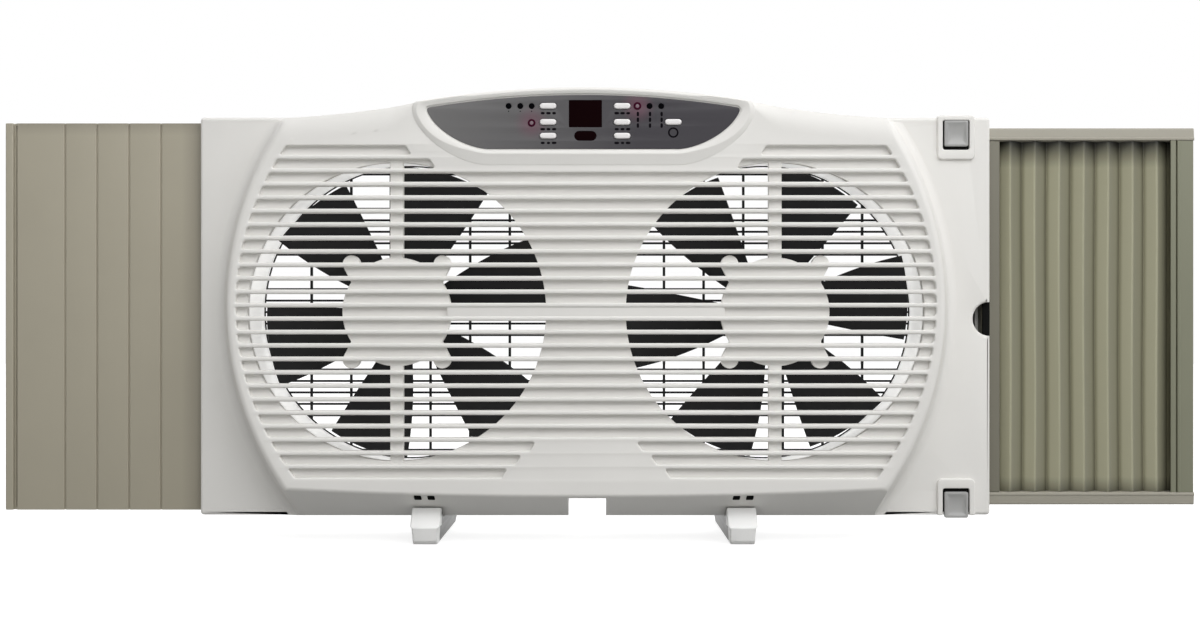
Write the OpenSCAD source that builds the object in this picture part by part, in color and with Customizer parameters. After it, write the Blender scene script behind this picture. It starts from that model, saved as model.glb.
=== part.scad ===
// Twin window fan with a left filler panel and a sliding pleated panel on the right.
// Millimetres. +X to the right, +Z up, the front faces -Y. The origin lies on the sill,
// midway along the width and the depth.

/* [Body] */
// Width of the body between the two side panels
body_w = 654; // [644:2:670]
// Height of the body up to the ends of the arch's shoulders
body_h = 325; // [321:1:335]
// How far the flange plate's upper edge stands above the shoulders' ends
flange_rise = 4.2; // [3:0.2:5.4]
// Height of the flange's lower edge above the sill
foot_lift = 19.5; // [18:0.5:24]
// Thickness of the flange plate
flange_t = 3; // [2.6:0.1:3.4]
// How far the rear housing reaches behind the flange plate
housing_d = 44; // [43:0.5:50]
// Wall of the moulded shells
wall = 2.5; // [2:0.1:3]
// How far the fans and the bulge sit left of the body's middle
shift_left = 7.3; // [4:0.1:9]

/* [Bulge] */
// Width of the bulged grille at the flange
bulge_w = 590; // [582:2:600]
// How far the grille stands out from the flange plate
bulge_d = 38; // [36:0.5:44]
// Radius of the bulge's two side arcs
bulge_side_r = 268; // [262:1:280]
// Rounding of the bulge's front edge
bulge_edge_r = 22; // [18:0.5:26]
// Height that the bulge's sloping lower face covers above the flange's lower edge
bulge_gap = 19.5; // [18:0.5:22]
// Height of the arch above the shoulders' ends
arch_rise = 23.5; // [21:0.5:27]
// Half width of the arch's convex middle
arch_half = 138; // [130:1:146]
// How far the convex middle falls from its crown to its ends
arch_drop = 11.7; // [10.5:0.1:12.5]
// Half width at which the arch's shoulders meet the flange's top edge
shoulder_half = 250; // [242:1:256]

/* [Slats] */
// Distance from one slat to the next
slat_pitch = 10.78; // [10.6:0.01:10.9]
// Height of one slat
slat_h = 3.6; // [3:0.1:4.4]
// Depth of a slat in front of its floor
slat_d = 8; // [6:0.5:9]
// Thickness of the floor behind the slats
floor_t = 3; // [2.4:0.1:3.4]
// Full width slots above the fans' centre line
rows_up = 10; // [9:1:10]
// Full width slots below the fans' centre line
rows_down = 9; // [8:1:9]
// Half width of the slotted field
slot_half_w = 280.4; // [274:0.2:284]
// Radius of the arcs on which the slots end
slot_end_r = 225; // [218:1:232]
// Inner end of the first short slot at the top, from the bulge's middle
lobe_in_top = 123; // [120:1:130]
// How much further out each next short slot at the top starts
lobe_step_top = 19.2; // [16:0.2:22]
// Inner end of the first short slot at the bottom, from the bulge's middle
lobe_in_bottom = 43; // [38:1:50]
// How much further out each next short slot at the bottom starts
lobe_step_bottom = 11.2; // [9:0.2:14]

/* [Fans] */
// Distance between the two fans' axes
fan_spacing = 304; // [300:1:310]
// Height of the fans' axes above the middle of the flange
fan_rise = 5.5; // [3:0.5:7]
// Radius at the tips of the blades
blade_tip_r = 122; // [114:0.5:123]
// Gap from the tips of the blades to the wall of the ring around them
tip_gap = 4; // [3:0.1:5]
// Radius of the round air openings in the grille
opening_r = 120; // [117:0.5:122]
// Blades on each fan
blade_count = 6; // [5:1:7]
// Thickness of a blade
blade_t = 2; // [1.6:0.1:2.4]
// Pitch of the blades against the plane in which they turn
blade_pitch = 22; // [18:1:23]
// Radius of the blades' hub
hub_r = 24; // [20:0.5:28]
// Length of the blades' hub
hub_l = 26; // [22:0.5:27]
// Width of the upright bar behind the slats
bar_w = 10.4; // [8:0.2:13]

/* [Motors] */
// Radius of a motor's can
motor_r = 38; // [35:0.5:40]
// Length of a motor's can
motor_l = 32; // [30:0.5:33]
// Sheet of the can
can_t = 1.5; // [1.2:0.1:2]
// Radius of the motor's shaft
shaft_r = 3; // [2.5:0.1:4]
// Running clearance of the shaft in its bushes, on the radius
shaft_gap = 0.05; // [0.03:0.01:0.08]
// Outer radius of a bush
bush_r = 6; // [5.5:0.5:8]
// Half width of the blank that carries a motor
blank_half_w = 44; // [42:0.5:46]
// Half height of the blank that carries a motor
blank_half_h = 40; // [38:0.5:42]
// Sideways distance of a motor screw from the axis
lobe_x = 36.5; // [34:0.5:38]
// Upward distance of a motor screw from the axis
lobe_z = 38.5; // [37:0.5:41]
// Radius of the lobes around the motor screws
lobe_r = 7; // [6:0.5:8]

/* [Rear guards] */
// How far a guard's rim reaches past the inside of the ring around the blades
guard_lap = 6; // [4:0.5:8]
// Width of the rim
rim_w = 7; // [5:0.5:8]
// Thickness of a guard
guard_t = 3; // [2.5:0.1:4]
// Distance between the guard's cross bars
guard_pitch = 9.9; // [9:0.1:12]
// Height of a cross bar
guard_bar = 1.8; // [1.4:0.1:2.4]
// Distance between the guard's uprights
upright_pitch = 34.2; // [30:0.2:36]
// Width of an upright
upright_w = 2.2; // [1.8:0.1:3]

/* [Control panel] */
// Half width of the control plate between its tips
plate_half_w = 126.5; // [120:0.5:130]
// Half width of the control plate's straight lower edge
plate_half_foot = 76; // [70:1:84]
// Height of the plate from its lower edge to its tips
plate_side_h = 34.4; // [32:0.2:36]
// Rise of the plate's curved top above its tips
plate_crown = 10.4; // [8:0.2:11]
// Thickness of the control plate
plate_t = 2; // [1.6:0.1:2.4]
// Width of the raised lip around the plate
lip_w = 6; // [4:0.2:7]
// How far the lip stands out from the grille
lip_h = 2; // [1.5:0.1:3]
// Length of a key
key_l = 13.2; // [12:0.1:14]
// Height of a key
key_h = 4.6; // [4:0.1:5.2]
// Travel of a key
key_travel = 1; // [0.8:0.1:1.2]
// Gap around a key
key_gap = 0.25; // [0.2:0.05:0.35]
// Width of the display window
display_w = 26.6; // [24:0.2:28]
// Height of the display window
display_h = 22; // [20:0.2:23]
// Radius of an indicator
indicator_r = 2.4; // [2:0.1:2.7]
// Thickness of the circuit board
board_t = 1.6; // [1.2:0.1:2]

/* [Left filler panel] */
// Width of the filler panel beside the body
filler_w = 163.5; // [150:0.5:170]
// Thickness of the filler panel
filler_t = 14; // [12:0.5:16]
// How deep the panel's tongue sits in the body
tongue_l = 15; // [13:0.5:16]
// Distance of the first groove from the body
groove_first = 34.2; // [30:0.2:38]
// Distance between the grooves
groove_pitch = 26.6; // [24:0.2:28]
// Width of a groove
groove_w = 1.2; // [0.8:0.1:1.6]
// Width of the panel's edge strip
strip_w = 8.3; // [7:0.1:10]

/* [Right sliding panel] */
// Width of the sliding panel when it is drawn out
slider_w = 171.5; // [160:0.5:178]
// How far the panel slides in
slider_travel = 120; // [100:1:126]
// Depth of the frame
slider_t = 14.3; // [13:0.1:16]
// Height of a rail
rail_h = 10.4; // [9:0.2:12]
// Length of rail that stays in the body when the panel is drawn out
rail_hold = 45; // [40:1:48]
// Width of the end stile
stile_w = 14; // [11:0.5:16]
// Width of the fixed stile at the body
fixed_stile_w = 15; // [13:0.5:17]
// Half pleats of the curtain
half_pleats = 15; // [13:2:17]
// Thickness of the curtain
curtain_t = 1.2; // [0.8:0.1:1.6]
// Running clearance of parts that slide
slide_gap = 0.3; // [0.25:0.05:0.4]

/* [Locks and feet] */
// Distance of the locks' middle from the body's right edge
lock_in = 28.6; // [26:0.2:31]
// Width of a lock's bezel
bezel_w = 31; // [29:0.5:34]
// Width of a lock's thumb tab
tab_w = 21; // [19:0.5:23]
// Height of a lock's thumb tab
tab_h = 21.4; // [19:0.2:24]
// Travel of a lock
lock_travel = 2.5; // [2:0.1:4]
// Width of a foot
foot_w = 24; // [22:0.5:28]
// Distance from the bulge's middle to the left foot
foot_left = 129.7; // [125:0.5:135]
// Distance from the bulge's middle to the right foot
foot_right = 126.3; // [120:0.5:128]
// Length of the feet's prongs
prong_l = 20; // [16:0.5:22]
// How far a foot reaches behind the flange plate's face
foot_reach = 108; // [100:1:115]
// Width of the cord notch in the lower edge
notch_w = 31; // [28:0.5:36]
// Strip of the bulge's lower face left above the cord notch
notch_lip = 1; // [0.5:0.5:4]
// Radius of the finger notch in the right edge
finger_r = 14; // [12:0.5:15]
// Radius of the bore in the cord gland
gland_bore_r = 3.6; // [3:0.1:4]

/* [Hidden] */
$fn = 96;
eps = 0.01;
far = 400;

// Places along X and Z that follow from the widths and heights
total_w = filler_w + body_w + slider_w;
body_x0 = filler_w - total_w / 2;
body_x1 = body_x0 + body_w;
slider_x1 = body_x1 + slider_w;
body_z0 = foot_lift;
body_z1 = body_z0 + body_h;
bulge_x = (body_x0 + body_x1) / 2 - shift_left;
fan_z = (body_z0 + body_z1) / 2 + fan_rise;
arc_z = fan_z + 5;
bulge_z0 = body_z0 + bulge_gap;
arch_z1 = body_z1 + arch_rise;
shoulder_z = arch_z1 - arch_drop;

// Places along Y, from the front to the back
total_d = lip_h + bulge_d + foot_reach;
flange_y = lip_h + bulge_d - total_d / 2;
flange_back = flange_y + flange_t;
front_y = flange_y - bulge_d;
lip_y = front_y - lip_h;
floor_y = front_y + slat_d;
floor_back = floor_y + floor_t;
housing_y1 = flange_back + housing_d;
rear_wall_y = housing_y1 - wall;

// The bulge's lower face, from the foot of its front to the flange's lower edge
tuck_land = 2;
tuck_y = flange_y - tuck_land;
tuck_slope = bulge_gap / (tuck_y - front_y);
function tuck_z(y) = bulge_z0 - tuck_slope * (y - front_y);

// The rings around the blades and the rims of the guards behind them
duct_r = blade_tip_r + tip_gap;
guard_r = duct_r + guard_lap;

// Rear housing
tongue_end_gap = 3;
side_step = 5;
edge_step = 1;
sash_step = 0.5;
housing_x0 = body_x0 + tongue_l + tongue_end_gap;
housing_x1 = body_x1 - side_step;
housing_z0 = body_z0 + edge_step;
housing_z1 = body_z1 - edge_step;
ring_t = 2.5;
ring_front_gap = 0.5;
boss_r = 4;
screw_r = 1.5;
screw_head_r = 3.2;
screw_head_h = 2;
pilot_gap = 0.03;
hole_gap = 0.25;

// The screws that join the housing to the grille: at the flange and in the bulge's middle
flange_bosses = [
    [body_x0 + 28, body_z1 - 14.5],
    [body_x0 + 28, body_z0 + 20],
    [body_x1 - 22, body_z1 - 45],
    [body_x1 - 22, body_z0 + 55],
];
centre_boss_in = 15;
centre_bosses = [for (side = [1, -1]) [bulge_x, fan_z + side * (opening_r - centre_boss_in)]];
housing_screw_l = 14;

// Motors
motor_y0 = floor_back;
motor_y1 = motor_y0 + motor_l;
bush_l = 5;
ear_t = 3;
stator_in_r = 18;
stator_l = motor_l - 14;
stator_y0 = motor_y0 + 7;
coil_r = 2.6;
air_gap = 0.5;
rotor_r = stator_in_r - air_gap;
motor_screw_l = 2.2;

// Blades
blade_gap = 2.5;
hub_y0 = motor_y1 + blade_gap + 2;
blade_mid_at = 21.5;
blade_mid_y = hub_y0 + blade_mid_at;
hub_wall = 3;
hub_boss_r = 8;
camber_r = 140;
blade_root_half = 16;
blade_tip_half = 17.5;
blade_swell = 2.5;
blade_sweep = 4;
nut_r = 7;
nut_l = 5;
nut_thread_l = nut_l - 1.5;
shaft_y0 = motor_y0 + 3;
shaft_y1 = hub_y0 + hub_l + nut_thread_l;
blade_turn_left = 17;
blade_turn_right = 10;

// Rear guards
guard_ear_r = 6;
guard_ear_at = guard_r + 5;
guard_screw_l = 11;

// Control panel
plate_z0 = body_z1 - 27.5;
plate_power = 1.62;
plate_fit = 0.2;
plate_y0 = lip_y + 1.5;
plate_back = plate_y0 + plate_t;
seat_w = 2.5;
seat_t = 2.5;
plate_x = bulge_x - 2;
key_y0 = lip_y;
key_rim_gap = 0.3;
key_rim_t = 1;
key_rim_w = 1;
key_back = plate_back + key_rim_gap + key_rim_t;
switch_gap = 0.2;
plunger_l = 1;
plunger_r = 1.7;
switch_w = 6;
switch_l = 3.5;
board_y0 = key_back + key_travel + switch_gap + plunger_l + switch_l;
board_back = board_y0 + board_t;
board_half_w = 90;
board_z0 = plate_z0 + 6;
board_z1 = plate_z0 + 39;
key_rows = [35.1, 22.3, 11.3];
key_left_x = -28.2;
key_right_x = 31;
power_x = 71.9;
display_z = plate_z0 + 29;
display_x = plate_x + 1.6;
receiver_z = plate_z0 + 11.3;
receiver_w = 18;
receiver_h = 8;
indicators = [
    [-59.8, 35.1], [-50.5, 35.1], [-41.4, 35.1], [-41.4, 21.6],
    [43.2, 35.1], [52.9, 35.1], [62.2, 35.1],
];

// The cover that closes the arch from behind and carries the circuit board
cover_z0 = fan_z + duct_r + ring_t + 4;
cover_fit = 0.3;
cover_post_r = 3.5;
cover_screw_x = 115;
cover_screw_zs = [cover_z0 + 6, arch_z1 - 20];
cover_screw_seat_t = 0.8;
board_screw_x = board_half_w - 5;
board_screw_l = 8;

// Side panels
panel_y0 = flange_back + 3;
filler_z0 = body_z0 + 3.5;
filler_z1 = body_z1;
slider_z0 = housing_z0 + wall + 4;
slider_z1 = housing_z1 - wall - slide_gap;
slider_y1 = panel_y0 + slider_t;
end_stile_x0 = slider_x1 - stile_w;
fixed_stile_x0 = housing_x1;
fixed_stile_x1 = fixed_stile_x0 + fixed_stile_w;
rail_x0 = body_x1 - rail_hold;
channel_x0 = rail_x0 - slider_travel - 3;
guide_t = 2;
fold_front = panel_y0 + 2;
fold_back = slider_y1 - 2.3;

// Locks
lock_x = body_x1 - lock_in;
bezel_t = 2.5;
bezel_rim = 4;
bezel_border = 8;
tab_t = 2.6;
tab_over_top = 1.2;
tab_over_bottom = 2;
lock_tongue_w = 8;
lock_tongue_h = 6;
lock_tongue_in = 6.5;

// Feet and notches
foot_gap = 0.4;
foot_toe = 33;
foot_top_at = 19;
toe_h = 15.4;
prong_w = 6;
prong_t = 4;
prong_x = 5.3;
prong_y = flange_back + 4;
prong_gap = 0.3;
window_w = 5.4;
window_h = 4;
window_z = body_z0 + 17;
finger_z = fan_z - 5.8;
gland_r = 8;
gland_rim_r = 10.5;
gland_l = 14;
gland_y = flange_back + 18;
notch_h = bulge_gap - notch_lip;
notch_x = bulge_x + 0.8;
notch_flare = 1.6;

// Colours
white_plastic = [0.86, 0.86, 0.84];
grey_plastic = [0.60, 0.58, 0.51];
plate_grey = [0.35, 0.35, 0.36];
black_plastic = [0.07, 0.07, 0.07];
smoke = [0.04, 0.03, 0.03];
steel = [0.66, 0.67, 0.68];
bronze = [0.62, 0.47, 0.27];
copper = [0.72, 0.42, 0.24];
board_green = [0.12, 0.34, 0.20];
latch_grey = [0.58, 0.58, 0.57];
key_white = [0.93, 0.92, 0.91];

// ---- shapes that several pieces share ----

function fan_x(side) = bulge_x + side * fan_spacing / 2;

// Turns a flat outline drawn in X and Z into a slab from y0 to y1
module slab(y0, y1) {
    translate([0, y1, 0])
        rotate([90, 0, 0])
            linear_extrude(height = y1 - y0)
                children();
}

// A round bar along Y
module rod(x, z, r, y0, y1) {
    translate([x, y1, z])
        rotate([90, 0, 0])
            cylinder(r = r, h = y1 - y0);
}

// A block between two corners
module block(x0, x1, y0, y1, z0, z1) {
    translate([x0, y0, z0])
        cube([x1 - x0, y1 - y0, z1 - z0]);
}

// Height of the arch's top edge at a distance u from the bulge's middle
arch_r = (arch_half * arch_half + arch_drop * arch_drop) / (2 * arch_drop);
arch_slope = arch_half / sqrt(arch_r * arch_r - arch_half * arch_half);
shoulder_l = shoulder_half - arch_half;
shoulder_c = (arch_slope * shoulder_l - (shoulder_z - body_z1)) / (shoulder_l * shoulder_l);
function arch_top(u) =
    u < arch_half ? arch_z1 - arch_r + sqrt(arch_r * arch_r - u * u)
    : u < shoulder_half ? shoulder_z - arch_slope * (u - arch_half) + shoulder_c * pow(u - arch_half, 2)
    : body_z1;

// The front view of the body's top edge, down to z0 and drawn in by an inset
module top_outline(z0, inset) {
    steps = 24;
    reach = shoulder_half + 8;
    polygon([
        for (i = [-steps:steps])
            let (u = reach * i / steps)
            [bulge_x + u, arch_top(abs(u)) - inset],
        [bulge_x + reach, z0],
        [bulge_x - reach, z0],
    ]);
}

// A disc with a rounded front edge, its back on y = 0 and its front on y = -d
module rounded_disc(r, d, edge) {
    steps = 6;
    rotate([90, 0, 0])
        rotate_extrude($fn = 180)
            polygon([
                [0, 0],
                [r, 0],
                for (i = [0:steps])
                    let (a = 90 * i / steps)
                    [r - edge + edge * cos(a), d - edge + edge * sin(a)],
                [0, d],
            ]);
}

// The space above the bulge's sloping lower face, which is moved up by an inset
module above_tuck(inset, back_y) {
    lift = inset * sqrt(1 + tuck_slope * tuck_slope);
    land_y = tuck_y + (lift - inset) / tuck_slope;
    translate([bulge_x - far, 0, 0])
        rotate([90, 0, 90])
            linear_extrude(height = 2 * far)
                polygon([
                    [front_y - 1, tuck_z(front_y - 1) + lift],
                    [land_y, body_z0 + inset],
                    [back_y + 1, body_z0 + inset],
                    [back_y + 1, far],
                    [front_y - 1, far],
                ]);
}

// The bulged body of the grille, drawn in by an inset on every side but the back
module bulge(inset, back_y) {
    arc_shift = bulge_w / 2 - bulge_side_r;
    intersection() {
        union() {
            for (side = [-1, 1])
                translate([bulge_x + side * arc_shift, back_y, arc_z])
                    rounded_disc(bulge_side_r - inset, back_y - front_y - inset, bulge_edge_r - inset);
            block(bulge_x - arc_shift, bulge_x + arc_shift, front_y + inset, back_y, 0, far);
        }
        slab(front_y - eps, back_y + eps)
            union() {
                translate([bulge_x - far, body_z0])
                    square([2 * far, body_h - inset]);
                top_outline(body_z1 - 2 * wall, inset);
            }
        above_tuck(inset, back_y);
    }
}

// The field in which the slots lie: two arcs and what is between them
module slot_field(grow) {
    arc_x = slot_half_w - slot_end_r;
    for (side = [-1, 1])
        translate([bulge_x + side * arc_x, arc_z])
            circle(r = slot_end_r + grow, $fn = 180);
    translate([bulge_x - arc_x, arc_z - slot_end_r])
        square([2 * arc_x, 2 * slot_end_r]);
}

// One slot of the grille, open to the end arcs, from an inner end on each side
module slot_row(row, inner) {
    slot_h = slat_pitch - slat_h;
    z = fan_z + row * slat_pitch;
    intersection() {
        slot_field(0);
        if (inner == 0)
            translate([bulge_x - far, z - slot_h / 2])
                square([2 * far, slot_h]);
        else
            for (side = [-1, 1])
                translate([bulge_x + side * (inner + far) / 2 - (far - inner) / 2, z - slot_h / 2])
                    square([far - inner, slot_h]);
    }
}

// The blank that carries a motor: a square with hollow sides and a lobe at each corner
module motor_blank(side) {
    dip = 3;
    dip_r = 110;
    translate([fan_x(side), fan_z]) {
        difference() {
            square([2 * blank_half_w, 2 * blank_half_h], center = true);
            for (a = [-1, 1]) {
                translate([0, a * (blank_half_h + dip_r - dip)])
                    circle(r = dip_r);
                translate([a * (blank_half_w + dip_r - dip), 0])
                    circle(r = dip_r);
            }
        }
        for (a = [-1, 1], b = [-1, 1])
            translate([a * lobe_x, b * lobe_z])
                circle(r = lobe_r);
    }
}

// The round opening of one fan, less the upright bar and the motor's blank
module fan_opening(side) {
    difference() {
        translate([fan_x(side), fan_z])
            circle(r = opening_r, $fn = 180);
        translate([fan_x(side) - bar_w / 2, fan_z - far])
            square([bar_w, 2 * far]);
        motor_blank(side);
    }
}

// The control plate's outline: a bowed top, a straight foot and rounded ends
function plate_side(t) = 1 - pow(1 - pow(t, plate_power), 1 / plate_power);
module plate_outline(grow) {
    steps = 10;
    run = plate_half_w - plate_half_foot;
    polygon([
        for (i = [-steps:steps])
            let (u = i / steps)
            [plate_x + u * (plate_half_w + grow), plate_z0 + plate_side_h + plate_crown * (1 - u * u) + grow],
        for (i = [steps - 1:-1:0])
            let (t = i / steps)
            [
                plate_x + plate_half_foot + t * (run + grow),
                plate_z0 - grow + (plate_side_h + grow) * plate_side(t),
            ],
        for (i = [0:steps - 1])
            let (t = i / steps)
            [
                plate_x - plate_half_foot - t * (run + grow),
                plate_z0 - grow + (plate_side_h + grow) * plate_side(t),
            ],
    ]);
}

// A flat pill, centred at a point of the control plate
module pill(x, z, l, h) {
    translate([x, z]) {
        square([l - h, h], center = true);
        for (side = [-1, 1])
            translate([side * (l - h) / 2, 0])
                circle(r = h / 2, $fn = 32);
    }
}

// The cord notch in the lower edge, a little wider at the bottom
module notch_outline(grow) {
    polygon([
        [notch_x - notch_w / 2 - grow, body_z0 + notch_h + grow],
        [notch_x + notch_w / 2 + grow, body_z0 + notch_h + grow],
        [notch_x + notch_w / 2 + notch_flare + grow, body_z0 - 5],
        [notch_x - notch_w / 2 - notch_flare - grow, body_z0 - 5],
    ]);
}

// A pan head screw along Y. dir is +1 where the head is behind and the shank points to the front
module screw(x, z, seat_y, l, dir) {
    if (dir > 0) {
        rod(x, z, screw_head_r, seat_y, seat_y + screw_head_h);
        rod(x, z, screw_r, seat_y - l, seat_y + eps);
    }
    else {
        rod(x, z, screw_head_r, seat_y - screw_head_h, seat_y);
        rod(x, z, screw_r, seat_y - eps, seat_y + l);
    }
}

// ---- front grille and rear housing ----

// The white front moulding: flange plate, bulge with its slats, motor blanks and screw bosses
module front_grille() {
    color(white_plastic)
    difference() {
        union() {
            difference() {
                union() {
                    block(body_x0, body_x1, flange_y, flange_back, body_z0, body_z1 + flange_rise);
                    bulge(0, flange_back);
                }
                difference() {
                    bulge(wall, flange_back + eps);
                    slab(front_y - 1, floor_back)
                        intersection() {
                            slot_field(wall);
                            translate([bulge_x - far, fan_z - (rows_down + 3.5) * slat_pitch])
                                square([2 * far, (rows_up + rows_down + 6) * slat_pitch]);
                        }
                }
            }
            // the walls beside the cord notch
            intersection() {
                bulge(0, flange_back);
                slab(front_y, flange_back)
                    notch_outline(wall);
            }
            intersection() {
                slab(lip_y, plate_back + seat_t)
                    plate_outline(lip_w);
                slab(lip_y - 1, flange_y)
                    top_outline(plate_z0 - 2 * lip_w, 0);
            }
            for (p = flange_bosses)
                rod(p[0], p[1], boss_r, flange_back - 1, rear_wall_y);
            for (p = centre_bosses)
                rod(p[0], p[1], boss_r, floor_back - 1, rear_wall_y);
            for (side = [-1, 1], z = cover_screw_zs)
                rod(bulge_x + side * cover_screw_x, z, boss_r, front_y + wall - 1, flange_y);
            for (side = [-1, 1], a = [-1, 1], b = [-1, 1])
                rod(fan_x(side) + a * lobe_x, fan_z + b * lobe_z, lobe_r, floor_y, floor_back);
        }
        // slots between the slats
        slab(front_y - 1, floor_y)
            for (row = [-rows_down:rows_up])
                if (row != 0)
                    slot_row(row, 0);
        slab(front_y - 1, floor_y) {
            slot_row(0, fan_spacing / 2 - blank_half_w + 3);
            for (k = [0, 1])
                slot_row(rows_up + 1 + k, lobe_in_top + k * lobe_step_top);
            for (k = [0:2])
                slot_row(-rows_down - 1 - k, lobe_in_bottom + k * lobe_step_bottom);
        }
        // air openings through the floor
        for (side = [-1, 1])
            slab(floor_y - eps, floor_back + eps)
                fan_opening(side);
        // the control plate's seat and the opening behind it
        slab(lip_y - 1, plate_back)
            plate_outline(plate_fit);
        slab(lip_y - 1, floor_back + 5)
            plate_outline(-seat_w);
        // screw pilots
        for (p = concat(flange_bosses, centre_bosses))
            rod(p[0], p[1], screw_r + pilot_gap, rear_wall_y - housing_screw_l, rear_wall_y + 1);
        for (side = [-1, 1], z = cover_screw_zs)
            rod(bulge_x + side * cover_screw_x, z, screw_r + pilot_gap, flange_y - board_screw_l - 1, flange_y + 1);
        for (side = [-1, 1], a = [-1, 1], b = [-1, 1])
            rod(fan_x(side) + a * lobe_x, fan_z + b * lobe_z, screw_r + pilot_gap,
                floor_back - motor_screw_l, floor_back + 1);
        // slots for the locks' tongues
        for (end = [-1, 1])
            lock_slot(end);
        // windows over the feet, the cord notch and the finger notch
        for (x = [bulge_x - foot_left, bulge_x + foot_right], side = [-1, 1])
            block(x + side * prong_x - window_w / 2, x + side * prong_x + window_w / 2,
                front_y - 1, flange_back + 1, window_z - window_h / 2, window_z + window_h / 2);
        slab(front_y - 1, flange_back + 1)
            notch_outline(0);
        rod(body_x1, finger_z, finger_r, flange_y - 1, flange_back + 1);
    }
}

// The slot in the flange in which a lock's tongue travels. end is +1 at the top, -1 at the bottom
module lock_slot(end) {
    z_out = end > 0 ? body_z1 - lock_tongue_in : body_z0 + lock_tongue_in;
    z_in = z_out - end * (lock_tongue_h + lock_travel);
    block(lock_x - lock_tongue_w / 2 - slide_gap, lock_x + lock_tongue_w / 2 + slide_gap,
        flange_y - 1, flange_back + 1, min(z_out, z_in) - slide_gap, max(z_out, z_in) + slide_gap);
}

// One pair of guides for a rail of the sliding panel, closed at the back
module rail_guides(z0, z1) {
    y1 = slider_y1 + slide_gap;
    block(channel_x0, housing_x1, y1, y1 + guide_t, z0 - slide_gap - guide_t, z1 + slide_gap + guide_t);
    for (z = [z0 - slide_gap - guide_t, z1 + slide_gap])
        block(channel_x0, housing_x1, panel_y0, y1 + guide_t, z, z + guide_t);
}

// The rear moulding: a tray with the two fan rings, the rails' guides and the filler's channel
module main_housing() {
    color(white_plastic)
    difference() {
        union() {
            difference() {
                block(housing_x0, housing_x1, flange_back, housing_y1, housing_z0, housing_z1);
                block(housing_x0 + wall, housing_x1 - wall, flange_back - 1, rear_wall_y,
                    housing_z0 + wall, housing_z1 - wall);
            }
            for (side = [-1, 1])
                rod(fan_x(side), fan_z, duct_r + ring_t, floor_back + ring_front_gap, rear_wall_y + eps);
            // channel for the filler panel's tongue
            block(body_x0, housing_x0 + wall, panel_y0 + filler_t + slide_gap,
                panel_y0 + filler_t + slide_gap + wall, housing_z0, housing_z1);
            intersection() {
                union() {
                    rail_guides(slider_z0, slider_z0 + rail_h);
                    rail_guides(slider_z1 - rail_h, slider_z1);
                    // ties from the guides to the lower and the upper wall
                    block(channel_x0, housing_x1, slider_y1 + slide_gap, slider_y1 + slide_gap + guide_t,
                        housing_z0, slider_z0);
                }
                block(housing_x0, housing_x1, flange_back, housing_y1, housing_z0, housing_z1);
            }
            slab(flange_back, housing_y1)
                intersection() {
                    notch_outline(wall);
                    translate([notch_x - far, housing_z0])
                        square([2 * far, far]);
                }
            for (side = [-1, 1], a = [-1, 1], b = [-1, 1])
                rod(fan_x(side) + a * guard_ear_at * cos(45), fan_z + b * guard_ear_at * sin(45),
                    boss_r, rear_wall_y - guard_screw_l, rear_wall_y + eps);
        }
        for (side = [-1, 1]) {
            rod(fan_x(side), fan_z, duct_r, floor_back - 1, housing_y1 + 1);
            // notch in the ring for the motor's lead
            block(fan_x(side) - 4, fan_x(side) + 4, floor_back, floor_back + 5,
                fan_z + duct_r - 5, fan_z + duct_r + ring_t + 1);
            for (a = [-1, 1], b = [-1, 1])
                rod(fan_x(side) + a * guard_ear_at * cos(45), fan_z + b * guard_ear_at * sin(45),
                    screw_r + pilot_gap, housing_y1 - guard_screw_l + 1, housing_y1 + 1);
        }
        for (p = concat(flange_bosses, centre_bosses))
            rod(p[0], p[1], screw_r + hole_gap, rear_wall_y - 1, housing_y1 + 1);
        // mouths of the two rail channels
        for (z = [slider_z0, slider_z1 - rail_h])
            block(housing_x1 - wall - 1, housing_x1 + 1, panel_y0 - slide_gap, slider_y1 + slide_gap,
                z - slide_gap, z + rail_h + slide_gap);
        // slots for the feet's prongs
        for (x = [bulge_x - foot_left, bulge_x + foot_right], side = [-1, 1])
            block(x + side * prong_x - prong_w / 2 - prong_gap, x + side * prong_x + prong_w / 2 + prong_gap,
                prong_y - prong_gap, prong_y + prong_t + prong_gap, housing_z0 - 1, housing_z0 + wall + 1);
        slab(flange_back - 1, housing_y1 + 1)
            notch_outline(0);
        translate([notch_x, gland_y, body_z0 + notch_h - 1])
            cylinder(r = gland_r + pilot_gap, h = wall + 2);
        block(housing_x1 - wall - 1, housing_x1 + 1, flange_back - 1, flange_back + 16,
            finger_z - finger_r, finger_z + finger_r);
        // a shallow step that keeps the sash's face clear of the flange
        block(housing_x0 - 1, housing_x1 + 1, flange_back - 1, flange_back + sash_step,
            housing_z1 - sash_step, housing_z1 + 1);
    }
}

// ---- control panel ----

// The cover behind the arch, with the posts of the circuit board
module control_cover() {
    color(white_plastic)
    difference() {
        union() {
            intersection() {
                bulge(wall + cover_fit, flange_back);
                block(bulge_x - far, bulge_x + far, flange_y, flange_y + wall, cover_z0, far);
            }
            for (side = [-1, 1], z = [board_z0 + 4, board_z1 - 4])
                rod(plate_x + side * board_screw_x, z, cover_post_r, board_back, flange_y + eps);
        }
        for (side = [-1, 1], z = [board_z0 + 4, board_z1 - 4])
            rod(plate_x + side * board_screw_x, z, screw_r + pilot_gap, board_back - 1, board_back + board_screw_l);
        for (side = [-1, 1], z = cover_screw_zs) {
            rod(bulge_x + side * cover_screw_x, z, screw_r + hole_gap, flange_y - 1, flange_back);
            // sunk seat, so that the head stays in front of the window's sash
            rod(bulge_x + side * cover_screw_x, z, screw_head_r + hole_gap, flange_y + cover_screw_seat_t,
                flange_back);
        }
    }
}

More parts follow.
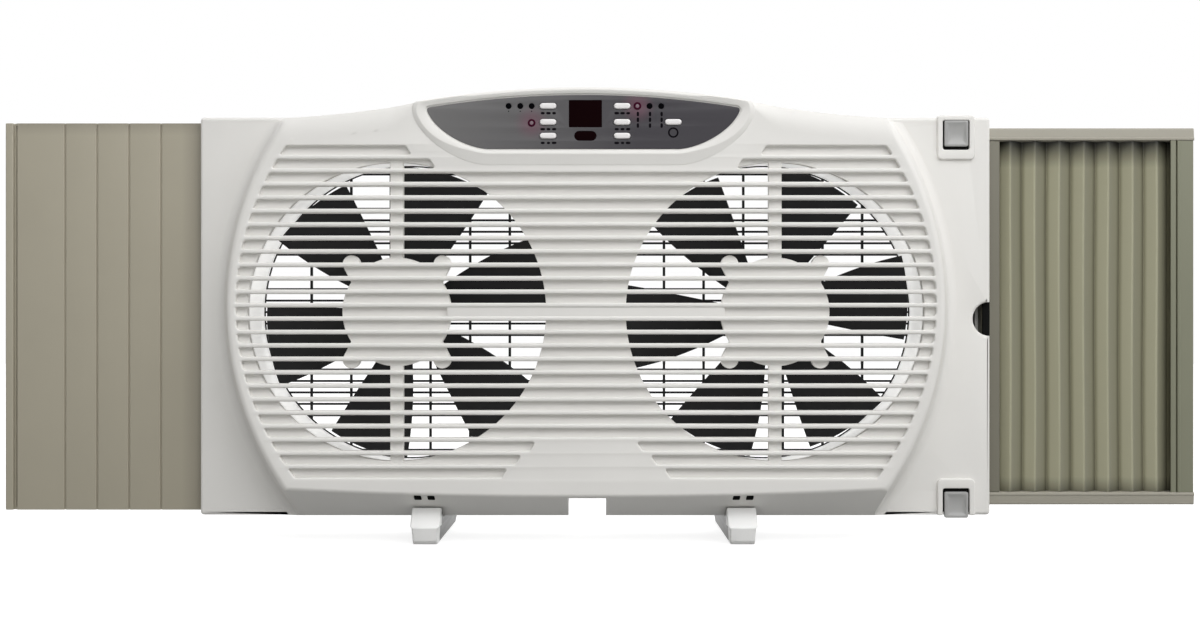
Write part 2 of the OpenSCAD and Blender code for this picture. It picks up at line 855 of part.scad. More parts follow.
// The dark plate with the openings for the keys, the windows and the indicators
module control_plate() {
    color(plate_grey)
    difference() {
        slab(plate_y0, plate_back)
            difference() {
                plate_outline(0);
                for (x = [key_left_x, key_right_x], z = key_rows)
                    pill(plate_x + x, plate_z0 + z, key_l + 2 * key_gap, key_h + 2 * key_gap);
                pill(plate_x + power_x, plate_z0 + key_rows[1], key_l + 2 * key_gap, key_h + 2 * key_gap);
                pill(plate_x + 1.6, receiver_z, receiver_w, receiver_h);
                translate([display_x - display_w / 2, display_z - display_h / 2])
                    square([display_w, display_h]);
            }
        for (p = indicators)
            rod(plate_x + p[0], plate_z0 + p[1], indicator_r, plate_y0 - 1, plate_back + 1);
    }
}

// The dark window over the two digits
module display_window() {
    fit = 0.1;
    color(smoke)
    block(display_x - display_w / 2 + fit, display_x + display_w / 2 - fit, plate_y0 + fit, plate_back,
        display_z - display_h / 2 + fit, display_z + display_h / 2 - fit);
}

// The dark window in front of the remote control's receiver
module receiver_window() {
    fit = 0.1;
    color(smoke)
    slab(plate_y0 + fit, plate_back)
        pill(plate_x + 1.6, receiver_z, receiver_w - 2 * fit, receiver_h - 2 * fit);
}

// The lenses in front of the indicator lamps
module indicator_lenses() {
    fit = 0.1;
    color(smoke)
    for (p = indicators)
        rod(plate_x + p[0], plate_z0 + p[1], indicator_r - fit, plate_y0 + fit, plate_back + key_rim_gap);
}

// The lamps on the circuit board behind the lenses
module indicator_lamps() {
    lamp_w = 3;
    color("gold")
    for (p = indicators)
        block(plate_x + p[0] - lamp_w / 2, plate_x + p[0] + lamp_w / 2, plate_back + 2 * key_rim_gap, board_y0,
            plate_z0 + p[1] - lamp_w / 2, plate_z0 + p[1] + lamp_w / 2);
}

// The board that carries the switches, the lamps and the display
module circuit_board() {
    color(board_green)
    difference() {
        block(plate_x - board_half_w, plate_x + board_half_w, board_y0, board_back, board_z0, board_z1);
        for (side = [-1, 1], z = [board_z0 + 4, board_z1 - 4])
            rod(plate_x + side * board_screw_x, z, screw_r + hole_gap, board_y0 - 1, board_back + 1);
    }
}

// The two digit display on the board
module display_module() {
    side_gap = 1.5;
    color("dimgray")
    block(display_x - display_w / 2 + side_gap, display_x + display_w / 2 - side_gap,
        plate_back + key_rim_gap, board_y0,
        display_z - display_h / 2 + side_gap, min(display_z + display_h / 2 - side_gap, board_z1));
}

// The receiver of the remote control
module infrared_receiver() {
    color("black")
    union() {
        block(display_x - 3, display_x + 3, plate_back + 3, board_y0, receiver_z - 3, receiver_z + 3);
        rod(display_x, receiver_z, 2.2, plate_back + 1, plate_back + 3 + eps);
    }
}

// A switch behind each key
module key_switches() {
    color("dimgray")
    for (p = concat(
        [for (x = [key_left_x, key_right_x], z = key_rows) [x, z]],
        [[power_x, key_rows[1]]]
    ))
        union() {
            block(plate_x + p[0] - switch_w / 2, plate_x + p[0] + switch_w / 2, board_y0 - switch_l, board_y0,
                plate_z0 + p[1] - switch_w / 2, plate_z0 + p[1] + switch_w / 2);
            rod(plate_x + p[0], plate_z0 + p[1], plunger_r, board_y0 - switch_l - plunger_l,
                board_y0 - switch_l + eps);
        }
}

// One key: a pill shaped cap with a rim behind the plate
module key(x, z) {
    color(key_white)
    union() {
        slab(key_y0, plate_back + key_rim_gap + eps)
            pill(plate_x + x, plate_z0 + z, key_l, key_h);
        slab(plate_back + key_rim_gap, key_back)
            pill(plate_x + x, plate_z0 + z, key_l + 2 * key_rim_w, key_h + 2 * key_rim_w);
    }
}

module key_left_top() { key(key_left_x, key_rows[0]); }
module key_left_middle() { key(key_left_x, key_rows[1]); }
module key_left_bottom() { key(key_left_x, key_rows[2]); }
module key_right_top() { key(key_right_x, key_rows[0]); }
module key_right_middle() { key(key_right_x, key_rows[1]); }
module key_right_bottom() { key(key_right_x, key_rows[2]); }
module key_power() { key(power_x, key_rows[1]); }

// ---- screws, each kind one node ----

module board_screws() {
    color(steel)
    for (side = [-1, 1], z = [board_z0 + 4, board_z1 - 4])
        screw(plate_x + side * board_screw_x, z, board_y0, board_screw_l, -1);
}

module cover_screws() {
    color(steel)
    for (side = [-1, 1], z = cover_screw_zs)
        screw(bulge_x + side * cover_screw_x, z, flange_y + cover_screw_seat_t, board_screw_l, 1);
}

module housing_screws() {
    color(steel)
    for (p = concat(flange_bosses, centre_bosses))
        screw(p[0], p[1], housing_y1, housing_screw_l, 1);
}

module guard_screws() {
    color(steel)
    for (side = [-1, 1], a = [-1, 1], b = [-1, 1])
        screw(fan_x(side) + a * guard_ear_at * cos(45), fan_z + b * guard_ear_at * sin(45),
            housing_y1 + guard_t, guard_screw_l, 1);
}

module motor_screws() {
    color(steel)
    for (side = [-1, 1], a = [-1, 1], b = [-1, 1])
        screw(fan_x(side) + a * lobe_x, fan_z + b * lobe_z, motor_y0 + ear_t, ear_t + motor_screw_l - 0.2, 1);
}

// ---- motors ----

// The sheet steel can of a motor, with its four ears and the seats of the two bushes
module motor_can(side) {
    seat_r = bush_r + 2;
    color(steel)
    translate([fan_x(side), 0, fan_z])
    difference() {
        union() {
            rod(0, 0, motor_r, motor_y0, motor_y1);
            rod(0, 0, seat_r, motor_y1 - eps, motor_y1 + 2);
            for (a = [-1, 1], b = [-1, 1]) {
                turn = atan2(b * lobe_z, a * lobe_x);
                rotate([0, -turn, 0])
                    block(motor_r - 2, norm([lobe_x, lobe_z]), motor_y0, motor_y0 + ear_t, -5, 5);
                rod(a * lobe_x, b * lobe_z, lobe_r - 1, motor_y0, motor_y0 + ear_t);
            }
        }
        difference() {
            rod(0, 0, motor_r - can_t, motor_y0 + can_t, motor_y1 - can_t);
            rod(0, 0, seat_r, motor_y0 + can_t - 1, motor_y0 + 1 + bush_l);
            rod(0, 0, seat_r, motor_y1 + 1 - bush_l, motor_y1);
        }
        rod(0, 0, bush_r, motor_y0 + 1, motor_y0 + 1 + bush_l + 1);
        rod(0, 0, bush_r, motor_y1 + 1 - bush_l - 1, motor_y1 + 3);
        for (a = [-1, 1], b = [-1, 1])
            rod(a * lobe_x, b * lobe_z, screw_r + hole_gap, motor_y0 - 1, motor_y0 + ear_t + 1);
    }
}

// The laminated stator, a ring with four poles
module stator(side) {
    slot_half = 7;
    color("slategray")
    translate([fan_x(side), 0, fan_z])
    difference() {
        rod(0, 0, motor_r - can_t, stator_y0, stator_y0 + stator_l);
        rod(0, 0, stator_in_r, stator_y0 - 1, stator_y0 + stator_l + 1);
        for (turn = [45:90:315])
            rotate([0, turn, 0])
                block(stator_in_r - 2, motor_r - 10, stator_y0 - 1, stator_y0 + stator_l + 1, -slot_half, slot_half);
    }
}

// The end turns of the windings, in front of and behind the stator
module windings(side) {
    turn_r = (stator_in_r + motor_r - can_t) / 2;
    color(copper)
    translate([fan_x(side), 0, fan_z])
    for (y = [stator_y0 - coil_r, stator_y0 + stator_l + coil_r])
        translate([0, y, 0])
            rotate([90, 0, 0])
                rotate_extrude()
                    translate([turn_r, 0])
                        circle(r = coil_r, $fn = 32);
}

// The two bronze bushes of a motor
module bushes(side) {
    color(bronze)
    translate([fan_x(side), 0, fan_z])
    for (y = [motor_y0 + 1, motor_y1 + 1 - bush_l])
        difference() {
            rod(0, 0, bush_r, y, y + bush_l);
            rod(0, 0, shaft_r + shaft_gap, y - 1, y + bush_l + 1);
        }
}

// The rotor's core
module motor_rotor(side) {
    color("slategray")
    translate([fan_x(side), 0, fan_z])
    difference() {
        rod(0, 0, rotor_r, stator_y0, stator_y0 + stator_l);
        rod(0, 0, shaft_r, stator_y0 - 1, stator_y0 + stator_l + 1);
    }
}

// The shaft from the front bush to the fan's nut
module fan_shaft(side) {
    color(steel)
    rod(fan_x(side), fan_z, shaft_r, shaft_y0, shaft_y1);
}

// Half the angle that a blade covers, from its root at t = 0 to its tip at t = 1
function blade_half(t) = blade_root_half + (blade_tip_half - blade_root_half) * t + 4 * blade_swell * t * (1 - t);

// One blade, along +X, cut from a bent sheet
module blade() {
    steps = 8;
    root = hub_r - 4;
    span = blade_tip_r + 4 - root;
    intersection() {
        slab(-30, 30)
            intersection() {
                circle(r = blade_tip_r, $fn = 180);
                polygon([
                    for (i = [0:steps])
                        let (t = i / steps, a = blade_half(t) - blade_sweep * t)
                        (root + span * t) * [cos(a), sin(a)],
                    for (i = [steps:-1:0])
                        let (t = i / steps, a = -blade_half(t) - blade_sweep * t)
                        (root + span * t) * [cos(a), sin(a)],
                ]);
            }
        rotate([blade_pitch, 0, 0])
            translate([0, -camber_r, 0])
                rotate([0, 90, 0])
                    difference() {
                        cylinder(r = camber_r + blade_t / 2, h = blade_tip_r + 2, $fn = 180);
                        translate([0, 0, -1])
                            cylinder(r = camber_r - blade_t / 2, h = blade_tip_r + 4, $fn = 180);
                    }
    }
}

// The moulded fan: a hub and its pitched blades
module fan_blade(side, turn) {
    color(black_plastic)
    translate([fan_x(side), 0, fan_z])
    difference() {
        union() {
            rod(0, 0, hub_r, hub_y0, hub_y0 + hub_l);
            for (i = [0:blade_count - 1])
                rotate([0, -turn - 360 * i / blade_count, 0])
                    translate([0, blade_mid_y, 0])
                        blade();
        }
        rod(0, 0, shaft_r, hub_y0 - 1, hub_y0 + hub_l + 1);
        // the hub's hollow around its boss, open towards the motor
        difference() {
            rod(0, 0, hub_r - hub_wall, hub_y0 - 1, hub_y0 + hub_l - hub_wall);
            rod(0, 0, hub_boss_r, hub_y0 - 2, hub_y0 + hub_l);
        }
    }
}

// The domed nut that holds the fan on its shaft
module fan_nut(side) {
    color(black_plastic)
    translate([fan_x(side), 0, fan_z])
    difference() {
        rod(0, 0, nut_r, hub_y0 + hub_l, hub_y0 + hub_l + nut_l);
        rod(0, 0, shaft_r, hub_y0 + hub_l - 1, shaft_y1);
    }
}

// A rear guard: a rim with cross bars, uprights and four screwed ears
module rear_guard(side) {
    bars = floor((guard_r - rim_w / 2) / guard_pitch);
    color(black_plastic)
    translate([fan_x(side), 0, fan_z])
    difference() {
        slab(housing_y1, housing_y1 + guard_t)
            union() {
                difference() {
                    union() {
                        circle(r = guard_r, $fn = 180);
                        for (a = [-1, 1], b = [-1, 1])
                            translate([a * guard_ear_at * cos(45), b * guard_ear_at * sin(45)])
                                circle(r = guard_ear_r);
                    }
                    circle(r = guard_r - rim_w, $fn = 180);
                }
                intersection() {
                    circle(r = guard_r - rim_w / 2, $fn = 180);
                    union() {
                        for (i = [-bars:bars])
                            translate([-guard_r, i * guard_pitch - guard_bar / 2])
                                square([2 * guard_r, guard_bar]);
                        for (i = [-2.5:2.5])
                            translate([i * upright_pitch - upright_w / 2, -guard_r])
                                square([upright_w, 2 * guard_r]);
                    }
                }
            }
        for (a = [-1, 1], b = [-1, 1])
            rod(a * guard_ear_at * cos(45), b * guard_ear_at * sin(45), screw_r + hole_gap,
                housing_y1 - 1, housing_y1 + guard_t + 1);
    }
}

module motor_can_left() { motor_can(-1); }
module motor_can_right() { motor_can(1); }
module stator_left() { stator(-1); }
module stator_right() { stator(1); }
module windings_left() { windings(-1); }
module windings_right() { windings(1); }
module bushes_left() { bushes(-1); }
module bushes_right() { bushes(1); }
module motor_rotor_left() { motor_rotor(-1); }
module motor_rotor_right() { motor_rotor(1); }
module fan_shaft_left() { fan_shaft(-1); }
module fan_shaft_right() { fan_shaft(1); }
module fan_blade_left() { fan_blade(-1, blade_turn_left); }
module fan_blade_right() { fan_blade(1, blade_turn_right); }
module fan_nut_left() { fan_nut(-1); }
module fan_nut_right() { fan_nut(1); }
module rear_guard_left() { rear_guard(-1); }
module rear_guard_right() { rear_guard(1); }

// The motors' two run capacitors, on the rear wall between the fan rings
module run_capacitors() {
    cap_w = 20;
    cap_h = 36;
    cap_d = 16;
    color("dimgray")
    for (end = [-1, 1])
        block(bulge_x - cap_w / 2, bulge_x + cap_w / 2, rear_wall_y - cap_d, rear_wall_y,
            fan_z + end * 30 - cap_h / 2, fan_z + end * 30 + cap_h / 2);
}

// The motors' leads, along the back of the uprights to the circuit board
module motor_leads() {
    lead_r = 1.5;
    lead_gap = 0.4;
    lead_y = floor_back + lead_r + lead_gap;
    top_z = fan_z + duct_r + ring_t + lead_r + lead_gap;
    can_z = fan_z + motor_r + lead_gap;
    board_end_x = board_half_w - 12;
    color("dimgray")
    for (side = [-1, 1]) {
        end_x = plate_x + side * board_end_x;
        union() {
            translate([fan_x(side), lead_y, can_z])
                cylinder(r = lead_r, h = top_z - can_z);
            translate([fan_x(side), lead_y, top_z])
                sphere(r = lead_r);
            translate([min(fan_x(side), end_x), lead_y, top_z])
                rotate([0, 90, 0])
                    cylinder(r = lead_r, h = abs(fan_x(side) - end_x));
            translate([end_x, lead_y, top_z])
                sphere(r = lead_r);
            translate([end_x, lead_y, top_z])
                cylinder(r = lead_r, h = board_z0 + 6 - top_z);
        }
    }
}

// The bush in the cord notch through which the power cord leaves
module cord_gland() {
    color(black_plastic)
    translate([notch_x, gland_y, body_z0 + notch_h])
    difference() {
        union() {
            translate([0, 0, -2])
                cylinder(r = gland_rim_r, h = 2);
            translate([0, 0, -eps])
                cylinder(r = gland_r, h = gland_l - 2);
        }
        translate([0, 0, -3])
            cylinder(r = gland_bore_r, h = gland_l + 2);
    }
}

// ---- side panels ----

// The zigzag of the curtain between the two stiles
module pleated_curtain() {
    span = end_stile_x0 - fixed_stile_x1;
    step = span / half_pleats;
    function fold_y(i) = i % 2 == 0 ? fold_back - curtain_t : fold_front;
    color(grey_plastic)
    translate([fixed_stile_x1, 0, slider_z0 + rail_h + slide_gap])
        linear_extrude(height = slider_z1 - slider_z0 - 2 * rail_h - 2 * slide_gap)
            polygon([
                for (i = [0:half_pleats]) [i * step, fold_y(i)],
                for (i = [half_pleats:-1:0]) [i * step, fold_y(i) + curtain_t],
            ]);
}

// The stile at the body to which the curtain is clipped, with a bump around the finger notch
module curtain_stile() {
    bump_w = 5;
    bump_h = 29;
    color(grey_plastic)
    difference() {
        block(fixed_stile_x0, fixed_stile_x1, panel_y0, slider_y1,
            slider_z0 + rail_h + slide_gap, slider_z1 - rail_h - slide_gap);
        block(fixed_stile_x0 - 1, body_x1 - 2, panel_y0 - 1, panel_y0 + 8, finger_z - bump_h / 2, finger_z + bump_h / 2);
    }
}

// The sliding frame: two rails and the end stile
module slider_frame() {
    groove_d = 1.2;
    color(grey_plastic)
    difference() {
        union() {
            for (z = [slider_z0, slider_z1 - rail_h])
                block(rail_x0, slider_x1, panel_y0, slider_y1, z, z + rail_h);
            block(end_stile_x0, slider_x1, panel_y0, slider_y1, slider_z0, slider_z1);
        }
        // a long groove in the face of each rail and of the stile
        for (z = [slider_z0, slider_z1 - rail_h])
            block(rail_x0 - 1, end_stile_x0, panel_y0 - 1, panel_y0 + groove_d,
                z + rail_h / 2 - 1, z + rail_h / 2 + 1);
    }
}

// The rigid panel on the left: a grooved face, ribs behind it and a tongue for the body's channel
module filler_panel() {
    x0 = -total_w / 2 + strip_w;
    x1 = body_x0 + tongue_l;
    skin = 2.5;
    grooves = [for (i = [0:3]) body_x0 - groove_first - i * groove_pitch];
    edges = concat([body_x0], grooves, [x0]);
    color(grey_plastic)
    difference() {
        block(x0, x1, panel_y0, panel_y0 + filler_t, filler_z0, filler_z1);
        for (x = grooves)
            block(x - groove_w / 2, x + groove_w / 2, panel_y0 - 1, panel_y0 + 1, filler_z0 - 1, filler_z1 + 1);
        for (i = [0:len(edges) - 2])
            block(edges[i + 1] + skin, edges[i] - skin, panel_y0 + skin, panel_y0 + filler_t + 1,
                filler_z0 + skin, filler_z1 - skin);
    }
}

// The strip along the outer edge of the filler panel
module filler_edge_strip() {
    color(grey_plastic)
    block(-total_w / 2, -total_w / 2 + strip_w, panel_y0 - 1, panel_y0 + filler_t, filler_z0, filler_z1);
}

// ---- locks ----

// Outer end of a lock's tab. end is +1 at the top of the body and -1 at the bottom
function tab_end(end) = end > 0 ? body_z1 + tab_over_top : body_z0 - tab_over_bottom;

// The bezel around a lock's tab: closed above the upper one, open below the lower one
module lock_bezel(end) {
    z_out = end > 0 ? tab_end(1) + slide_gap + bezel_rim : body_z0;
    z_win = tab_end(end) - end * (tab_h + lock_travel + slide_gap);
    z_in = z_win - end * bezel_border;
    z_open = end > 0 ? tab_end(1) + slide_gap : body_z0 - 1;
    half = bezel_w / 2;
    side = half - tab_w / 2 - slide_gap;
    color(white_plastic)
    difference() {
        union() {
            block(lock_x - half, lock_x + half, flange_y - bezel_t, flange_y, min(z_out, z_in), max(z_out, z_in));
            if (end > 0)
                block(lock_x - half, lock_x + half, flange_y - eps, flange_back, body_z1 + flange_rise, z_out);
        }
        block(lock_x - half + side, lock_x + half - side, flange_y - bezel_t - 1, flange_y + eps,
            min(z_win, z_open), max(z_win, z_open));
    }
}

// A lock's thumb tab with the tongue that goes through the flange
module lock_tab(end) {
    z_out = tab_end(end);
    z_in = z_out - end * tab_h;
    t_out = end > 0 ? body_z1 - lock_tongue_in : body_z0 + lock_tongue_in;
    t_in = t_out - end * lock_tongue_h;
    color(latch_grey)
    union() {
        block(lock_x - tab_w / 2, lock_x + tab_w / 2, flange_y - slide_gap - tab_t, flange_y - slide_gap,
            min(z_in, z_out), max(z_in, z_out));
        block(lock_x - lock_tongue_w / 2, lock_x + lock_tongue_w / 2, flange_y - slide_gap - eps,
            panel_y0 - slide_gap, min(t_in, t_out), max(t_in, t_out));
    }
}

module lock_bezel_top() { lock_bezel(1); }
module lock_bezel_bottom() { lock_bezel(-1); }
module lock_tab_top() { lock_tab(1); }
module lock_tab_bottom() { lock_tab(-1); }

// ---- feet ----

// A clip-on sill foot: a toe in front, a sole to the back and two prongs into the body
module foot(x) {
    top_z = body_z0 - foot_gap;
    toe_y = flange_y - foot_toe;
    end_y = flange_y + foot_reach;
    top_y = flange_y - foot_top_at;
    color(white_plastic)
    union() {
        translate([x - foot_w / 2, 0, 0])
            rotate([90, 0, 90])
                linear_extrude(height = foot_w)
                    polygon([
                        [toe_y + 4, 0],
                        [end_y - 17, 0],
                        [end_y, 6],
                        [end_y, 9],
                        [end_y - 3, 11.5],
                        [housing_y1 + 4, top_z],
                        [tuck_y, tuck_z(tuck_y) - foot_gap],
                        [top_y, tuck_z(top_y) - foot_gap],
                        [toe_y + 1, toe_h],
                        [toe_y, toe_h - 2],
                        [toe_y + 2, 3],
                    ]);
        for (side = [-1, 1])
            block(x + side * prong_x - prong_w / 2, x + side * prong_x + prong_w / 2, prong_y, prong_y + prong_t,
                top_z - 1, top_z + prong_l);
    }
}

module foot_left() { foot(bulge_x - foot_left); }
module foot_right() { foot(bulge_x + foot_right); }

front_grille();
main_housing();
control_cover();
control_plate();
display_window();
receiver_window();
indicator_lenses();
indicator_lamps();
circuit_board();
display_module();
infrared_receiver();
key_switches();
board_screws();
cover_screws();
housing_screws();
guard_screws();
motor_screws();
rear_guard_left();
rear_guard_right();
motor_can_left();
motor_can_right();
stator_left();
stator_right();
windings_left();
windings_right();
bushes_left();
bushes_right();
run_capacitors();
motor_leads();
cord_gland();
lock_bezel_top();
lock_bezel_bottom();
curtain_stile();
pleated_curtain();
fan_blade_left();
fan_blade_right();
motor_rotor_left();
motor_rotor_right();
fan_shaft_left();
fan_shaft_right();
fan_nut_left();
fan_nut_right();
slider_frame();
filler_panel();
filler_edge_strip();
lock_tab_top();
lock_tab_bottom();
foot_left();
foot_right();
key_left_top();
key_left_middle();
key_left_bottom();
key_right_top();
key_right_middle();
key_right_bottom();
key_power();
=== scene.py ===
# Twin window fan: a bulged slatted grille with a control panel over two fans, a grooved filler
# panel on its left and a sliding frame with a pleated curtain on its right.
# Sizes are in millimetres after the studio. piece() turns them into the frame's metres.

import bmesh
import bpy
import numpy as np
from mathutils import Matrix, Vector
from mathutils.geometry import tessellate_polygon


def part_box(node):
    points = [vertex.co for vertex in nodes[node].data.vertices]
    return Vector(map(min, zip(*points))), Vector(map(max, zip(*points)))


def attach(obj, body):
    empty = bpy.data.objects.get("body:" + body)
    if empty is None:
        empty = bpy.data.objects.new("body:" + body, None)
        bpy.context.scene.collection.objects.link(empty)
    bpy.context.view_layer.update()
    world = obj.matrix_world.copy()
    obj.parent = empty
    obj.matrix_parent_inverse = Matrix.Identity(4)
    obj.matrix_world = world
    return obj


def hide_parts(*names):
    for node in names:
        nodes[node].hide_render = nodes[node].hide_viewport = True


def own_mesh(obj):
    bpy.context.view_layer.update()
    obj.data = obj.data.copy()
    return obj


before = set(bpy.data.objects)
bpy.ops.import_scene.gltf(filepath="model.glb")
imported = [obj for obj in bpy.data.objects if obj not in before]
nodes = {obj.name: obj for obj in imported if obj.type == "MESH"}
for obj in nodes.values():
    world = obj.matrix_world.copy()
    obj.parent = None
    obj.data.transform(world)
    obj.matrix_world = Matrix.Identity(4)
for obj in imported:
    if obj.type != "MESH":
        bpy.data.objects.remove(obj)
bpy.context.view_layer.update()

# ---- Studio ----
# A camera at the height of the fan's middle, one wide soft lamp in front on the upper right, a dim
# surround that is darker below and on the left and brighter behind the fan, and a white floor.

EYE = (0.0, -1.172, 0.185)
LENS = 41.25
SENSOR = 36.0
SKY_BELOW, SKY_ABOVE = 0.36, 0.86
SKY_BEHIND = 2.2
SKY_LEFT, SKY_RIGHT = 0.55, 1.30
LAMP_POWER = 31.5
LAMP_WIDE, LAMP_HIGH = 2.6, 1.4
LAMP_AT, LAMP_AIM = (0.66, -1.40, 1.60), (0, 0, 0.15)

scene = bpy.context.scene
scene.view_settings.view_transform = "Standard"

camera = bpy.data.objects.new("camera", bpy.data.cameras.new("camera"))
camera.data.lens = LENS
camera.data.sensor_width = SENSOR
camera.location = EYE
camera.rotation_euler = (np.pi / 2, 0, 0)
scene.collection.objects.link(camera)
scene.camera = camera


def added(tree, kind, values=(), operation=None):
    """A new shader node. Values are pairs of an input and what it is set to."""
    node = tree.nodes.new("ShaderNode" + kind)
    if operation:
        node.operation = operation
    for name, value in values:
        node.inputs[name].default_value = value
    return node


def join(tree, *pairs):
    """Links node sockets, each pair an output and an input."""
    for out, into in pairs:
        tree.links.new(out, into)


def ramp(tree, value, low, high, start=0.0, end=1.0, smooth=False):
    """A value between low and high carried over to start and end, and held beyond them."""
    ends = (("From Min", low), ("From Max", high), ("To Min", start), ("To Max", end))
    node = added(tree, "MapRange", ends)
    node.interpolation_type = "SMOOTHSTEP" if smooth else "LINEAR"
    join(tree, (value, node.inputs["Value"]))
    return node.outputs["Result"]


def combine(tree, operation, a, b):
    """One value made of two, such as their sum, their product or the larger."""
    node = added(tree, "Math", operation=operation)
    join(tree, (a, node.inputs[0]), (b, node.inputs[1]))
    return node.outputs[0]


def light_and_look(tree, light, look, end):
    """Sends the light that falls on surfaces through one shader, and what the camera sees, also off
    gloss or through glass, through another."""
    rays = added(tree, "LightPath").outputs
    seen = combine(tree, "MAXIMUM", rays["Is Camera Ray"], rays["Is Glossy Ray"])
    choice = added(tree, "MixShader")
    join(tree, (combine(tree, "MAXIMUM", seen, rays["Is Transmission Ray"]), choice.inputs[0]),
         (light.outputs[0], choice.inputs[1]), (look.outputs[0], choice.inputs[2]),
         (choice.outputs[0], end.inputs["Surface"]))


world = bpy.data.worlds.new("surround")
scene.world = world
world.use_nodes = True
sky = world.node_tree
sky.nodes.clear()
direction = added(sky, "SeparateXYZ")
join(sky, (added(sky, "TexCoord").outputs["Generated"], direction.inputs[0]))
level = combine(sky, "MULTIPLY", ramp(sky, direction.outputs["Z"], -0.6, 0.6, SKY_BELOW, SKY_ABOVE),
                ramp(sky, direction.outputs["X"], -0.9, 0.9, SKY_LEFT, SKY_RIGHT))
dim = added(sky, "Background")
behind = ramp(sky, direction.outputs["Y"], 0.1, 0.9, 0, SKY_BEHIND)
join(sky, (combine(sky, "ADD", level, behind), dim.inputs["Strength"]))
white = added(sky, "Background", [("Color", (1, 1, 1, 1))])
light_and_look(sky, dim, white, added(sky, "OutputWorld"))

lamp = bpy.data.objects.new("soft_lamp", bpy.data.lights.new("soft_lamp", "AREA"))
lamp.data.shape = "RECTANGLE"
lamp.data.size = LAMP_WIDE
lamp.data.size_y = LAMP_HIGH
lamp.data.energy = LAMP_POWER
lamp.location = LAMP_AT
lamp.rotation_euler = (Vector(LAMP_AIM) - lamp.location).to_track_quat("-Z", "Y").to_euler()
scene.collection.objects.link(lamp)

FLOOR_HALF = 4.0
FLOOR_DROP = 0.0004
floor_mesh = bpy.data.meshes.new("floor")
square = ((-1, -1), (1, -1), (1, 1), (-1, 1))
floor_mesh.from_pydata([(x * FLOOR_HALF, y * FLOOR_HALF, -FLOOR_DROP) for x, y in square], [], [(0, 1, 2, 3)])
floor = bpy.data.objects.new("floor", floor_mesh)
scene.collection.objects.link(floor)
floor_paint = bpy.data.materials.new("floor_paint")
floor_paint.use_nodes = True
tree = floor_paint.node_tree
tree.nodes.clear()
matt = added(tree, "BsdfDiffuse", [("Color", (0.40, 0.40, 0.40, 1))])
lit = added(tree, "Emission", [("Strength", 0.80)])
shining = added(tree, "AddShader")
join(tree, (matt.outputs[0], shining.inputs[0]), (lit.outputs[0], shining.inputs[1]))
grey = added(tree, "BsdfDiffuse", [("Color", (0.27, 0.27, 0.26, 1))])
light_and_look(tree, grey, shining, added(tree, "OutputMaterial"))
floor_mesh.materials.append(floor_paint)

# ---- Front grille ----
# One white styrene moulding: a thin flange, a bulge with sloping sides and a lower face that
# tucks back, slats in front of a floor, and two openings with an upright bar and a motor blank.

MM = 0.001


def grid_faces(rows, cols, wrap_rows=False, wrap_cols=True):
    """The quads of a grid of points, closed along the rows or the columns where asked."""
    i = np.arange(rows if wrap_rows else rows - 1)[:, None]
    j = np.arange(cols if wrap_cols else cols - 1)[None, :]
    a, b = i % rows * cols, (i + 1) % rows * cols
    c, d = j % cols, (j + 1) % cols
    return np.stack([a + c, a + d, b + d, b + c], -1).reshape(-1, 4)


def piece(name, surfaces, body, paint, sharp=35):
    """One object made of closed surfaces, each an array of points and its faces. Its faces point
    outwards, and its edges are smooth up to an angle of sharp degrees."""
    points, faces, start = [], [], 0
    for verts, *kinds in surfaces:
        points.append(np.reshape(verts, (-1, 3)) * MM)
        faces += [f for kind in kinds for f in (np.asarray(kind) + start).tolist()]
        start += len(points[-1])
    mesh = bpy.data.meshes.new(name)
    mesh.from_pydata(np.concatenate(points).tolist(), [], faces)
    work = bmesh.new()
    work.from_mesh(mesh)
    bmesh.ops.remove_doubles(work, verts=work.verts, dist=1e-7)
    bmesh.ops.recalc_face_normals(work, faces=work.faces)
    work.to_mesh(mesh)
    work.free()
    mesh.shade_smooth()
    mesh.set_sharp_from_angle(angle=np.radians(sharp))
    mesh.materials.append(paint)
    made = bpy.data.objects.new(name, mesh)
    scene.collection.objects.link(made)
    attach(made, body)
    return made


def arc(x, z, r, first, last, count):
    """Points of a circle about (x, z), from one angle to another in degrees."""
    a = np.radians(np.linspace(first, last, count))
    return np.stack([x + r * np.cos(a), z + r * np.sin(a)], -1)


def rounded(corners, steps=6):
    """A closed outline through corners (x, z, r). Each corner is an arc of radius r that is tangent
    to both sides: its centre lies r / sin(half angle) along the bisector."""
    c = np.asarray(corners, float)
    p, r = c[:, :2], np.maximum(c[:, 2], 1e-4)[:, None]
    a = np.roll(p, 1, 0) - p
    b = np.roll(p, -1, 0) - p
    a /= np.linalg.norm(a, axis=1, keepdims=True)
    b /= np.linalg.norm(b, axis=1, keepdims=True)
    half = np.arccos(np.clip((a * b).sum(1, keepdims=True), -1, 1)) / 2
    bisector = (a + b) / np.linalg.norm(a + b, axis=1, keepdims=True)
    centre = p + bisector * r / np.sin(half)
    first = (p + a * r / np.tan(half) - centre)[:, None]
    last = (p + b * r / np.tan(half) - centre)[:, None]
    turn = (np.pi - 2 * half)[:, None]
    k = np.linspace(0, 1, steps + 1)[None, :, None]
    bend = (first * np.sin((1 - k) * turn) + last * np.sin(k * turn)) / np.sin(turn)
    return (centre[:, None] + bend).reshape(-1, 2)


def oblong(x0, x1, z0, z1, low_r, high_r=None, steps=4):
    """A rectangle with rounded corners, with one radius along its low side and one along its high."""
    high_r = low_r if high_r is None else high_r
    return rounded([(x0, z0, low_r), (x1, z0, low_r), (x1, z1, high_r), (x0, z1, high_r)], steps)


def wound(loop, left):
    """The outline turned anticlockwise if left, else clockwise."""
    x, z = loop.T
    area = (x * np.roll(z, -1) - np.roll(x, -1) * z).sum()
    return loop if (area > 0) == left else loop[::-1]


